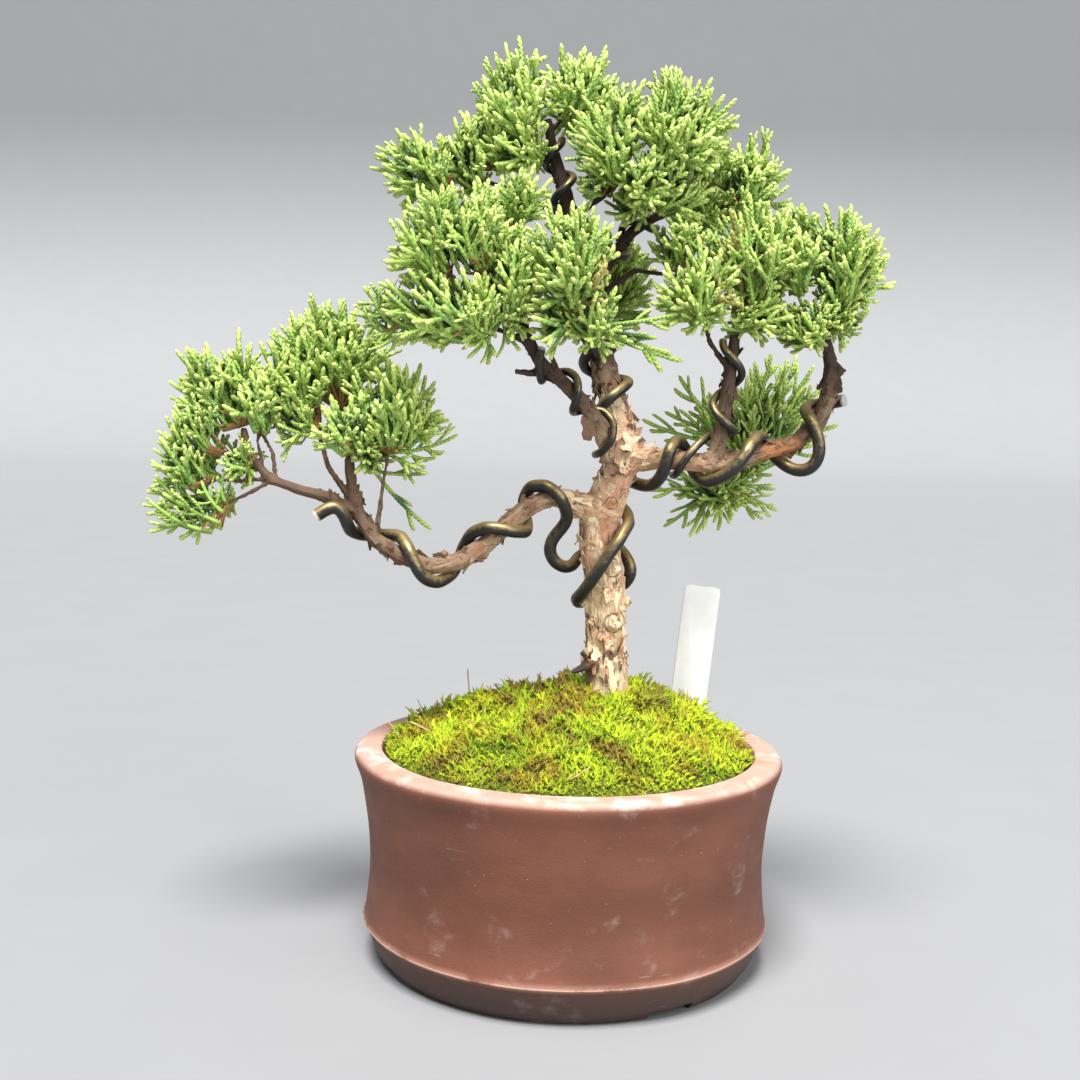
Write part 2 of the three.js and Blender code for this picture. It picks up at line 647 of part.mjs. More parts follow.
// How far old bark swells and sinks round a thick limb.
function barkRelief(angle, height, radius) {
  const ridges = Math.sin(3 * angle + height * 0.11) + 0.7 * Math.sin(5 * angle - height * 0.17);
  return radius > SMOOTH_RADIUS ? 1 + BARK_RELIEF * ridges : 1;
}

// A tapered limb, made by bending a cylinder along its line. It can be grown by a clearance.
function limbSolid(stations, { sides, step }, grow = 0) {
  const { curve, radiusAt, length } = limbLine(stations);
  const steps = Math.max(2, Math.round(length / step));
  const frames = curve.computeFrenetFrames(steps, false);
  const blank = new THREE.CylinderGeometry(1, 1, 1, sides, steps);
  const place = blank.attributes.position;
  for (let i = 0; i < place.count; i += 1) {
    const index = Math.round((place.getY(i) + 0.5) * steps);
    const share = index / steps;
    const angle = Math.atan2(place.getX(i), place.getZ(i));
    const plain = radiusAt(share);
    const radius = plain * barkRelief(angle, share * length, plain) + grow;
    const overrun = { 0: -grow, [steps]: grow }[index] ?? 0;
    const point = curve
      .getPointAt(share)
      .addScaledVector(frames.normals[index], place.getZ(i) * radius)
      .addScaledVector(frames.binormals[index], place.getX(i) * radius)
      .addScaledVector(frames.tangents[index], overrun);
    place.setXYZ(i, point.x, point.y, point.z);
  }
  return solidOf(blank);
}

function knobSolid([x, y, z, radius], grow = 0) {
  return solidOf(new THREE.OctahedronGeometry(radius + grow, 0).translate(x, y, z));
}

function trunkSolid(grow = 0) {
  return limbSolid(TRUNK, TRUNK_SECTION, grow);
}

function woodSolid(grow = 0) {
  const limbs = [
    trunkSolid(grow),
    ...BRANCHES.map((branch) => limbSolid(branch, BRANCH_SECTION, grow)),
    ...TWIGS.map((twig) => limbSolid(twig, TWIG_SECTION, grow)),
    ...STUBS.map((stub) => limbSolid(stub, STUB_SECTION, grow)),
  ];
  const knobs = KNOBS.map((knob) => knobSolid(knob, grow));
  return join([...limbs, ...knobs]);
}

// Beads along a limb stand for it where distances are worked out.
function beadsAlong(stations) {
  const { curve, radiusAt, length } = limbLine(stations);
  const count = Math.ceil(length / BEAD_SPACING);
  return Array.from({ length: count + 1 }, (_, i) => ({
    point: curve.getPointAt(i / count),
    radius: radiusAt(i / count) * (1 + HIGHEST_RIDGE * BARK_RELIEF),
  }));
}

// Turns of wire round a limb, as points. The turn number is whole where it crosses the front.
function turnsRound({ limb, radius, hand, slack, crossings, before, after }) {
  const { curve, radiusAt, length } = limbLine(limb);
  const last = crossings.length - 1;
  const distanceAt = (turn) => {
    const index = THREE.MathUtils.clamp(Math.floor(turn), 0, last - 1);
    const pitch = crossings[index + 1] - crossings[index];
    return crossings[index] + pitch * (turn - index);
  };
  const count = Math.round((before + last + after) * POINTS_PER_TURN);
  return Array.from({ length: count + 1 }, (_, i) => {
    const turn = -before + i / POINTS_PER_TURN;
    const share = THREE.MathUtils.clamp(distanceAt(turn) / length, 0, 1);
    const along = curve.getTangentAt(share);
    const front = new THREE.Vector3(0, -1, 0).addScaledVector(along, along.y).normalize();
    const side = new THREE.Vector3().crossVectors(along, front);
    const angle = 2 * Math.PI * turn * hand;
    const reach = radiusAt(share) + radius + slack + CLEARANCE;
    return curve
      .getPointAt(share)
      .addScaledVector(front, reach * Math.cos(angle))
      .addScaledVector(side, reach * Math.sin(angle));
  });
}

// A wire's route: its points joined by a smooth line that is kept clear of wood and other wires.
function wireRoute(points, radius, beads) {
  const rough = new THREE.CatmullRomCurve3(points, false, "centripetal");
  const count = Math.ceil(rough.getLength() / WIRE_STEP);
  const route = rough.getSpacedPoints(count);
  for (let pass = 0; pass < CLEARING_PASSES; pass += 1) {
    for (const point of route) {
      for (const bead of beads) {
        const gap = point.distanceTo(bead.point);
        const wanted = bead.radius + radius + 2 * CLEARANCE;
        if (gap < wanted) {
          const push = point.clone().sub(bead.point).setLength(wanted - gap);
          point.add(push);
        }
      }
    }
    for (let i = 1; i < route.length - 1 && pass < CLEARING_PASSES - 1; i += 1) {
      const halfway = route[i - 1].clone().lerp(route[i + 1], 0.5);
      route[i].lerp(halfway, SMOOTHING_SHARE);
    }
  }
  return route;
}

function wireSolid(route, radius, grow = 0) {
  const sides = radius > THIN_WIRE ? THICK_WIRE_SIDES : THIN_WIRE_SIDES;
  const section = new THREE.Shape();
  section.absarc(0, 0, radius + grow, 0, 2 * Math.PI);
  const rim = section.getSpacedPoints(sides).slice(0, sides);
  const path = new THREE.CatmullRomCurve3(route, false, "centripetal");
  const wire = new THREE.ExtrudeGeometry(new THREE.Shape(rim), {
    steps: route.length - 1,
    extrudePath: path,
    bevelEnabled: false,
  });
  return solidOf(wire);
}

// Every wire's route, longest first, each clear of the wood and of the wires before it.
function wireRoutes(woodBeads) {
  const beads = [...woodBeads];
  const routes = {};
  for (const [name, { lead = [], tail = [], radius, ...winding }] of Object.entries(WIRES)) {
    const turns = winding.limb ? turnsRound({ radius, ...winding }) : [];
    const points = [...lead.map(pointOf), ...turns, ...tail.map(pointOf)];
    const route = wireRoute(points, radius, beads);
    routes[name] = { route, radius };
    beads.push(...wireBeads(route, radius));
  }
  return routes;
}

function wireBeads(route, radius) {
  const path = new THREE.CatmullRomCurve3(route, false, "centripetal");
  const count = Math.ceil(path.getLength() / BEAD_SPACING);
  return path.getSpacedPoints(count).map((point) => ({ point, radius }));
}

function pointOf([x, y, z]) {
  return new THREE.Vector3(x, y, z);
}

// Directions spread evenly over a sphere.
function evenDirections(count) {
  const golden = Math.PI * (3 - Math.sqrt(5));
  return Array.from({ length: count }, (_, i) => {
    const height = 1 - (2 * i + 1) / count;
    const radius = Math.sqrt(1 - height * height);
    return new THREE.Vector3(radius * Math.cos(golden * i), radius * Math.sin(golden * i), height);
  });
}

// How far out of a rounded outline a point lies: 0 at its centre and 1 on the outline.
function depthIn({ centre, reach }, point) {
  const [x, y, z] = centre;
  const [a, b, c] = reach;
  return Math.hypot((point.x - x) / a, (point.y - y) / b, (point.z - z) / c);
}

function meanReach({ reach }) {
  return (reach[0] + reach[1] + reach[2]) / 3;
}

// The lobe's dense middle: its outline shrunk towards the heart.
function coreOf({ heart, centre, reach, fill }) {
  return {
    centre: pointOf(centre).lerp(pointOf(heart), 1 - fill),
    reach: pointOf(reach).multiplyScalar(fill),
  };
}

function coreSolid(lobe) {
  const { centre, reach } = coreOf(lobe);
  const ball = new THREE.IcosahedronGeometry(CORE_SWELL, 0);
  return solidOf(ball.scale(...reach).translate(...centre));
}

// A neck that holds two neighbouring middles of one pad together.
function neckSolid(first, second) {
  const from = coreOf(first).centre;
  const to = coreOf(second).centre;
  const neck = new THREE.CylinderGeometry(NECK_RADIUS, NECK_RADIUS, from.distanceTo(to), NECK_SIDES);
  return solidOf(between(neck, from, to));
}

// The shoots of a lobe, as start and end points: the furthest ones, then more of them
// spread evenly over its outline.
function lobeShoots(lobe, random) {
  const { heart, centre, reach, fill, tips = [] } = lobe;
  const area = 4 * Math.PI * meanReach(lobe) ** 2;
  const even = evenDirections(Math.round(area / SHOOT_SPACING ** 2)).map((way) => {
    const stretch = SHORTEST_SHOOT + (LONGEST_SHOOT - SHORTEST_SHOOT) * random();
    return pointOf(centre).addScaledVector(way.multiply(pointOf(reach)), stretch);
  });
  return [...tips.map(pointOf), ...even].map((tip) => ({
    root: pointOf(heart).lerp(tip, fill * ROOT_SHARE),
    tip,
    fork: random(),
    twist: random(),
  }));
}

// Moves a shape that was made along the Y axis so that it lies between two points.
function between(geometry, from, to) {
  const along = to.clone().sub(from).normalize();
  const turn = new THREE.Quaternion().setFromUnitVectors(new THREE.Vector3(0, 1, 0), along);
  return geometry.applyQuaternion(turn).translate(...from.clone().lerp(to, 0.5));
}

function shootSolid({ root, tip }) {
  const shoot = new THREE.ConeGeometry(SHOOT_RADIUS, root.distanceTo(tip), SHOOT_SIDES);
  return solidOf(between(shoot, root, tip));
}

// A side shoot that leaves the main one part of the way out.
function sideShoot({ root, tip, twist }) {
  const along = tip.clone().sub(root);
  const start = root.clone().lerp(tip, SIDE_SHOOT_START);
  const across = new THREE.Vector3(0, 0, 1).cross(along).normalize();
  const way = across.applyAxisAngle(along.clone().normalize(), twist * 2 * Math.PI);
  const end = tip
    .clone()
    .addScaledVector(way, along.length() * SIDE_SHOOT_SPREAD)
    .addScaledVector(along, -SIDE_SHOOT_SET_BACK);
  return { root: start, tip: end };
}

// The least distance between two straight shoots, measured at points along them.
function gapBetween(first, second) {
  const line = new THREE.Line3(second.root, second.tip);
  const nearest = new THREE.Vector3();
  const distances = [0, 0.2, 0.4, 0.6, 0.8, 1].map((share) => {
    const point = first.root.clone().lerp(first.tip, share);
    return point.distanceTo(line.closestPointToPoint(point, true, nearest));
  });
  return Math.min(...distances);
}

// True where a shoot keeps off the wood, the wires and the other pads.
function keepsClear(shoot, padName, beads, placed) {
  const points = [0.4, 0.6, 0.8, 1].map((share) => shoot.root.clone().lerp(shoot.tip, share));
  const offBeads = beads.every((bead) =>
    points.every((point) => point.distanceTo(bead.point) > bead.radius + SHOOT_RADIUS),
  );
  const offCores = Object.entries(PADS).every(
    ([name, lobes]) =>
      name === padName ||
      lobes.every((lobe) => points.every((point) => depthIn(coreOf(lobe), point) > CORE_MARGIN)),
  );
  const apart = 2 * SHOOT_RADIUS + CLEARANCE;
  const offShoots = placed.every(
    (other) => other.pad === padName || gapBetween(shoot, other) > apart,
  );
  return offBeads && offCores && offShoots;
}

function padShoots(padName, lobes, beads, placed, random) {
  const shoots = [];
  for (const lobe of lobes) {
    for (const shoot of lobeShoots(lobe, random)) {
      const buried = lobes.some((other) => other !== lobe && depthIn(other, shoot.tip) < BURIED_DEPTH);
      if (buried || !keepsClear(shoot, padName, beads, placed)) {
        continue;
      }
      shoots.push(shoot);
      const side = sideShoot(shoot);
      if (shoot.fork < FORK_SHARE && keepsClear(side, padName, beads, placed)) {
        shoots.push(side);
      }
    }
  }
  return shoots;
}

function padSolid(lobes, shoots) {
  const necks = lobes.slice(1).map((lobe, i) => neckSolid(lobes[i], lobe));
  return join([join([...lobes.map(coreSolid), ...necks]), join(shoots.map(shootSolid))]);
}

function buildTree() {
  const tree = new THREE.Group();
  const woodBeads = [
    ...[TRUNK, ...BRANCHES, ...TWIGS, ...STUBS].flatMap((limb) => beadsAlong(limb)),
    ...KNOBS.map((knob) => ({ point: pointOf(knob), radius: knob[3] })),
  ];
  const routes = wireRoutes(woodBeads);
  const allBeads = [
    ...woodBeads,
    ...Object.values(routes).flatMap(({ route, radius }) => wireBeads(route, radius)),
  ];
  tree.add(meshOf("trunk_and_branches", woodSolid(), MATERIALS.bark));

  let seat = woodSolid(CLEARANCE);
  for (const [name, { route, radius }] of Object.entries(routes)) {
    const wire = largestBody(wireSolid(route, radius).subtract(seat));
    tree.add(meshOf(name, wire, MATERIALS.wire));
    seat = seat.add(wireSolid(route, radius, CLEARANCE));
  }

  const random = randomFrom(SEED);
  const placed = [];
  for (const [name, lobes] of Object.entries(PADS)) {
    const shoots = padShoots(name, lobes, allBeads, placed, random);
    placed.push(...shoots.map((shoot) => ({ ...shoot, pad: name })));
    const pad = largestBody(padSolid(lobes, shoots).subtract(seat));
    tree.add(meshOf(name, pad, MATERIALS.foliage));
  }
  return tree;
}

function buildPot() {
  const pot = new THREE.Group();
  const grownTrunk = trunkSolid(CLEARANCE);
  const slot = labelSolid(CLEARANCE);
  pot.add(meshOf("pot", potSolid(), MATERIALS.clay));
  pot.add(meshOf("drain_screen", screenSolid(), MATERIALS.mesh));
  pot.add(meshOf("soil", soilSolid().subtract(grownTrunk).subtract(slot), MATERIALS.soil));
  pot.add(meshOf("moss_carpet", mossSolid().subtract(grownTrunk).subtract(slot), MATERIALS.moss));
  pot.add(meshOf("plant_label", labelSolid(), MATERIALS.label));
  return pot;
}

const bonsai = new THREE.Group();
bonsai.add(buildPot(), buildTree());
const box = new THREE.Box3().setFromObject(bonsai, true);
const middle = box.getCenter(new THREE.Vector3());
bonsai.children.forEach((child) => child.position.set(-middle.x, -middle.y, -box.min.z));

export default bonsai;
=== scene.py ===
"""A kishu juniper bonsai, wired and growing in a round unglazed training pot.

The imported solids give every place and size. This script puts finer pieces over them: sprays of
scale-leaved shoots, flaking bark, wound wire, a clay pot, a carpet of moss and a plain label.
"""

import logging
import math
import random
from collections.abc import Iterator, Sequence
from dataclasses import dataclass, field, replace
from enum import Enum
from typing import NamedTuple

import bpy
from mathutils import Matrix, Vector, noise
from mathutils.bvhtree import BVHTree
from mathutils.kdtree import KDTree


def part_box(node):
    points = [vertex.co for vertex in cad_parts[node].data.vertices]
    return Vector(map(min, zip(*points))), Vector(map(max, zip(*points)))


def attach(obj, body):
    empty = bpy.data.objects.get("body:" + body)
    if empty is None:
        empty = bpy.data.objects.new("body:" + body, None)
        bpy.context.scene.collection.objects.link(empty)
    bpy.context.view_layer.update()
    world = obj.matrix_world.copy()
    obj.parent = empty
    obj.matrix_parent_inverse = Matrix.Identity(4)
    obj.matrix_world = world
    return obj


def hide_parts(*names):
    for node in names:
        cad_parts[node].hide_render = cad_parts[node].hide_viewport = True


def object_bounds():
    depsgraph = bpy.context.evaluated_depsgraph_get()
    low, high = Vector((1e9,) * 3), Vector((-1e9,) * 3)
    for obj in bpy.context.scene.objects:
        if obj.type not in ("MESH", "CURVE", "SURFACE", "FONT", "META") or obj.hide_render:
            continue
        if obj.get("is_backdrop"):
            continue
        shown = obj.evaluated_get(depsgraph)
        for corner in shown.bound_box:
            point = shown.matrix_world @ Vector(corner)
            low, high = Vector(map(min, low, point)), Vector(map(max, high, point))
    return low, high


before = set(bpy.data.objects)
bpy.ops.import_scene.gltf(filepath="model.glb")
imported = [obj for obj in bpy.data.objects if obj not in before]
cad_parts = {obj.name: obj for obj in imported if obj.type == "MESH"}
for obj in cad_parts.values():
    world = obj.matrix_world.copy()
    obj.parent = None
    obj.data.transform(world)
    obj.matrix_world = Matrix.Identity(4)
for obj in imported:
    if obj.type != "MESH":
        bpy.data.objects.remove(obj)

LOG = logging.getLogger("bonsai")
CAD_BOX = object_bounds()
POT_LOW, POT_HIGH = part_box("pot")
POT_AXIS = Vector(((POT_LOW.x + POT_HIGH.x) / 2, (POT_LOW.y + POT_HIGH.y) / 2, 0.0))
MM = 0.001
UP = Vector((0.0, 0.0, 1.0))
FRONT = Vector((0.0, -1.0, 0.0))
GOLDEN_ANGLE = math.pi * (3 - math.sqrt(5))
SEED = 20451
SPRAY_LENGTH = 27.0

Span = tuple[float, float]
Place = tuple[float, float, float]
Station = tuple[float, float, float, float]
Colour = tuple[float, float, float]


class Slot(Enum):
    """The record's material slots."""

    CLAY = "clay"
    MESH = "mesh"
    SOIL = "soil"
    MOSS = "moss"
    LABEL = "label"
    BARK = "bark"
    WIRE = "wire"
    FOLIAGE = "foliage"


class Fill(Enum):
    """How full a lobe is: packed with sprays, open between them, or a few threads."""

    DENSE = "dense"
    OPEN = "open"
    THREAD = "thread"


class SprayKind(Enum):
    """The kinds of spray that the pads are made of."""

    LONG = "long"
    SHORT = "short"
    OPEN = "open"
    THREAD = "thread"


# Places on the tree are in millimetres from the pot's axis at table height.
# A station is a place on a limb's centre line, with the limb's radius there.
TRUNK: tuple[Station, ...] = (
    (13, 6, 44, 4.5), (12.6, 6, 62, 7.5), (12.4, 6, 76, 8.6), (12.2, 6, 84, 7.2),
    (11.4, 5, 95, 6.5), (10.6, 4, 107, 6.4), (10.2, 3, 120, 6.6), (8.2, 2, 132, 6.7),
    (8.4, 2, 142, 6.8), (12, 2, 151, 5.9), (15.4, 2, 159, 6.0), (14.4, 3, 168, 5.4),
    (10.8, 5, 178, 4.7), (8.2, 7, 187, 4.2), (6, 8, 197, 3.6), (3.2, 8, 209, 3.2),
    (0.4, 6, 221, 2.9), (-3.1, 4, 233, 2.6), (-6.2, 3, 244, 2.3), (-9.5, 3, 254, 1.9),
    (-11.5, 3, 264, 1.4),
)
BRANCHES: tuple[tuple[Station, ...], ...] = (
    (
        (9.5, 2, 142, 5.0), (4, 0, 144, 4.4), (-3, -3, 146.5, 3.5), (-9.5, -6, 146.8, 3.0),
        (-16.8, -9, 142.3, 2.9), (-25.2, -12, 133.7, 3.0), (-34.8, -14, 127.1, 2.9),
        (-43.9, -15, 125.1, 2.8), (-53.2, -15, 128.3, 2.7), (-61.1, -14, 132.9, 2.5),
        (-66.3, -13, 140.4, 2.3), (-68.5, -12, 148, 1.9), (-70, -11, 158, 1.5),
    ),
    (
        (-66.5, -13, 140, 2.0), (-72, -14, 144.6, 2.0), (-80, -14, 147, 1.9),
        (-88, -13.5, 148.4, 1.8), (-95, -12.5, 151.4, 1.6), (-100, -11, 156.5, 1.2),
        (-103.5, -8, 166, 1.0),
    ),
    (
        (12.5, 1, 157, 3.2), (8.6, -6, 166.8, 3.0), (4, -11, 174, 2.8), (-1.6, -15, 180.3, 2.6),
        (-8.4, -18, 185.2, 2.3), (-13.9, -20.5, 191.8, 2.0), (-17.7, -22, 199.1, 1.6),
        (-22, -24, 211, 1.1),
    ),
    (
        (15.4, 2, 159, 4.6), (22, 0.5, 159.6, 3.8), (32.7, -2, 159.4, 3.3), (41, -4, 158.4, 3.3),
        (49.6, -4, 159.9, 2.8), (59.1, -2, 162.6, 2.7), (68.7, 0, 165.5, 2.7),
        (75.4, 2, 171.4, 2.8), (78.9, 3, 180.8, 3.0), (79.2, 2, 190, 2.5), (77, 0, 198, 1.7),
        (77.5, -2, 208, 1.1),
    ),
    (
        (43.2, -4, 158.6, 2.9), (45, -6, 170.7, 2.5), (46, -8, 179.9, 2.4),
        (47.1, -8, 190.7, 2.1), (48, -8, 202, 1.3),
    ),
    (
        (2.5, 8, 211, 2.4), (9.5, 10.5, 222.5, 2.2), (16, 12, 231, 2.0), (25, 14.5, 237, 1.6),
        (38, 18, 241.5, 1.1),
    ),
)
LEFT_BRANCH, _, UPPER_LEFT_BRANCH, _, RIGHT_UPRIGHT, GREY_BRANCH = BRANCHES


@dataclass(frozen=True)
class Lobe:
    """One rounded part of a foliage pad, whose sprays spread from its heart to its outline.

    Attributes:
        heart: where its stems meet.
        centre: the middle of its outline.
        reach: the outline's radii along X, Y and Z.
        fill: how full it is.
        tips: places that sprays surely reach.
    """

    heart: Place
    centre: Place
    reach: Place
    fill: Fill = Fill.DENSE
    tips: tuple[Place, ...] = ()


PADS: dict[str, tuple[Lobe, ...]] = {
    "foliage_left_tip": (
        Lobe((-101, -7, 168), (-112, -6, 178), (14, 15, 14),
             tips=((-120.7, -6, 189.5), (-126.5, -6, 185.5), (-129.2, -6, 175), (-112, -3, 196))),
        Lobe((-110, -10, 151), (-121, -8, 157), (12, 12, 11),
             tips=((-131.5, -10, 152.6), (-131, -10, 163))),
        Lobe((-97, -9, 166), (-99, -8, 175), (10, 12, 12)),
        Lobe((-107, -10, 158), (-117, -8, 167), (11, 12, 10)),
        Lobe((-102, -11, 160), (-106, -10, 155), (7, 10, 9)),
        Lobe((-107, -12, 145), (-119, -12, 141), (14, 12, 9), Fill.OPEN,
             tips=((-133, -12, 143.3), (-128, -12, 129.8), (-120, -13, 129.8), (-132.5, -12, 136))),
    ),
    "foliage_left_dome": (
        Lobe((-80, -4, 166), (-90, -2, 181), (15, 17, 16), tips=((-98, -3, 196.9), (-90.4, -2, 204))),
        Lobe((-74, -2, 172), (-77, 5, 191), (17, 18, 17), tips=((-82.9, 0, 208.1),)),
        Lobe((-58, -13, 160), (-57, -10, 174), (16, 17, 15),
             tips=((-45.6, -6, 186), (-41.6, -8, 174.6), (-36.7, -8, 159), (-46.3, -12, 152))),
        Lobe((-66, -11, 162), (-70, -14, 168), (14, 13, 10)),
        Lobe((-80, -6, 172), (-88, -9, 168), (9, 11, 7)),
        Lobe((-64, -12, 166), (-62, -13, 159), (8, 10, 8)),
        Lobe((-62, -11, 154), (-55, -11, 143), (8, 7, 8), Fill.THREAD,
             tips=((-57.5, -11, 133.6), (-47.3, -11, 133.9), (-46, -11, 151))),
    ),
    "foliage_front_left": (
        Lobe((-38, -26, 215), (-44, -26, 224), (14, 15, 15), tips=((-58.5, -26, 215), (-57.5, -26, 223))),
        Lobe((-27, -25, 214), (-33, -26, 227), (15, 16, 15)),
        Lobe((-28, -27, 202), (-38, -29, 204), (21, 17, 12), tips=((-60, -27, 207), (-51, -28, 192))),
        Lobe((-20, -24, 206), (-19, -25, 214), (12, 15, 17),
             tips=((-34, -29, 186.6), (-28, -29, 186.5), (-38.7, -28, 190), (-18, -29, 192))),
        Lobe((-48, -22, 202), (-59, -16, 202), (10, 12, 8), Fill.OPEN,
             tips=((-66.6, -14, 203), (-67, -13, 197), (-55, -24, 188))),
        Lobe((-22, -18, 226), (-20, -13, 238), (12, 12, 10)),
    ),
    "foliage_front_centre": (
        Lobe((0, -31, 208), (-3, -35, 217), (13, 13, 17), tips=((-4.7, -33, 234.5), (6.1, -33, 228.8))),
        Lobe((5, -30, 200), (4, -35, 203), (10, 12, 10), tips=((14, -34, 191), (6, -34, 187.5))),
        Lobe((-2, -29, 207), (-8, -31, 200), (9, 10, 8)),
        Lobe((4, -28, 199), (16, -26, 196), (12, 10, 8), Fill.THREAD,
             tips=((22.8, -22, 194.1), (27.2, -18, 189), (30, -16, 202), (31, -16, 186.5),
                   (20, -30, 188))),
    ),
    "foliage_upper_left": (
        Lobe((-40, -2, 246), (-50, -4, 247), (13, 14, 10),
             tips=((-57, -3, 256.5), (-64.5, -3, 249), (-65.8, -3, 243))),
        Lobe((-31, 0, 244), (-37, 0, 249), (12, 14, 10), tips=((-43.4, -3, 260.5),)),
        Lobe((-25, 2, 249), (-32, 0, 257), (12, 13, 10)),
    ),
    "foliage_apex": (
        Lobe((-19, 2, 261), (-23, 2, 267), (14, 17, 16), tips=((-29.5, 3, 282), (-17.2, 3, 289.8))),
        Lobe((-4, 5, 268), (-1, 6, 273), (15, 16, 13),
             tips=((-10.4, 3, 285.5), (1.1, 3, 286), (8.8, 3, 285.5))),
        Lobe((-15, 1, 259), (-22, -3, 253), (11, 11, 8)),
    ),
    "foliage_crown_right": (
        Lobe((10, -6, 249), (9, -10, 256), (14, 16, 15)),
        Lobe((22, -4, 253), (28, -5, 260), (17, 18, 16),
             tips=((23.6, -6, 278.5), (30, -6, 276.5), (39.5, -6, 271), (48.1, -6, 264), (46.8, -6, 255))),
        Lobe((17, -9, 248), (19, -14, 244), (14, 12, 9)),
        Lobe((22, -4, 244), (29, -5, 243), (13, 13, 10)),
        Lobe((9, -2, 254), (12, 0, 266), (11, 13, 11)),
        Lobe((10, -4, 247), (4, -3, 246), (8, 11, 8)),
        Lobe((17, -2, 242), (13, -2, 238), (9, 10, 7)),
    ),
    "foliage_high_right": (
        Lobe((48, 19, 245), (53, 21, 247), (15, 16, 13),
             tips=((55.6, 20, 262.5), (64, 20, 260), (68, 20, 250.6))),
        Lobe((40, 18, 241), (39, 19, 242), (12, 14, 11)),
        Lobe((42, 17, 246), (39, 14, 256), (12, 12, 11)),
    ),
    "foliage_right_inner": (
        Lobe((36, -11, 208), (36, -12, 214), (14, 15, 15), tips=((21.5, -10, 222.1), (22.5, -10, 208))),
        Lobe((53, -8, 212), (54, -8, 222), (15, 17, 18)),
        Lobe((36, -9, 214), (28, -7, 226), (11, 13, 9)),
        Lobe((53, -8, 210), (56, -8, 203), (13, 12, 7)),
        Lobe((50, -8, 207), (46, -8, 200), (8, 8, 6), Fill.OPEN),
    ),
    "foliage_right_outer": (
        Lobe((79, -4, 212), (81, -5, 221), (14, 17, 17),
             tips=((79.4, -5, 239), (91, -5, 232), (94.5, -5, 222.5), (91.5, -5, 208))),
        Lobe((72, -8, 203), (70, -11, 203), (13, 12, 8), tips=((57.8, -10, 199.9),)),
        Lobe((66, -7, 212), (68, -7, 223), (11, 14, 14)),
        Lobe((77, -5, 208), (83, -6, 203), (8, 11, 8)),
        Lobe((71, -8, 203), (66, -9, 197), (10, 10, 5), Fill.OPEN),
        Lobe((68, -3, 222), (66, 0, 233), (9, 11, 8)),
    ),
    "foliage_right_back": (
        Lobe((56, 27, 164), (60, 31, 168), (24, 18, 17), Fill.OPEN,
             tips=((29.7, 30, 180.2), (28.6, 30, 172.2), (20.9, 26, 166.4), (42.7, 32, 180.9),
                   (64.6, 32, 190.1), (74.5, 30, 191.2), (81, 30, 187.7), (88.8, 26, 175.3),
                   (87, 24, 169), (83, 28, 182), (70, 31, 190), (36, 30, 176), (60, 28, 192),
                   (66, 28, 194), (78, 28, 191), (54, 28, 187))),
        Lobe((49, 24, 154), (47, 27, 149), (16, 14, 11), Fill.OPEN,
             tips=((26.6, 26, 142.5), (33.3, 26, 132.6), (43.4, 26, 133.5), (50.4, 26, 134),
                   (66.4, 26, 138.5), (63.9, 26, 145.1), (38, 26, 134), (58, 26, 137))),
    ),
    "foliage_back": (
        Lobe((7, 28, 209), (7, 33, 216), (20, 18, 17)),
    ),
}
# Knobs and scars on the front of the trunk and the branches: X, height and radius.
SCARS: tuple[Place, ...] = (
    (9.2, 102.8, 1.9), (10.9, 117.1, 1.7), (13.2, 124.9, 3.1), (6.5, 107.1, 1.7),
    (14.4, 118.9, 1.3), (11.6, 145.5, 1.9), (7.2, 145.4, 1.6), (16.2, 155.6, 1.7),
    (10.7, 156.8, 1.4), (13.8, 107.2, 3.4), (8.2, 94.5, 1.6), (-39.5, 129.5, 1.4),
    (13.2, 98.5, 1.3), (17.4, 168.0, 1.5),
)


@dataclass(frozen=True)
class Wire:
    """One training wire, with free stretches and turns round a limb.

    Attributes:
        name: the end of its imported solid's name.
        radius: its radius.
        lead: the free stretch before the turns.
        tail: the free stretch after them.
        limb: the stations of the limb that it is wound round.
        hand: the way it winds, 1 or -1.
        slack: its clearance from the limb.
        crossings: the distances along the limb at which its turns cross the front.
        before: the part of a turn before the first crossing.
        after: the part of a turn after the last crossing.
    """

    name: str
    radius: float
    lead: tuple[Place, ...] = ()
    tail: tuple[Place, ...] = ()
    limb: tuple[Station, ...] = ()
    hand: int = 1
    slack: float = 0.2
    crossings: tuple[float, ...] = ()
    before: float = 0.3
    after: float = 0.3


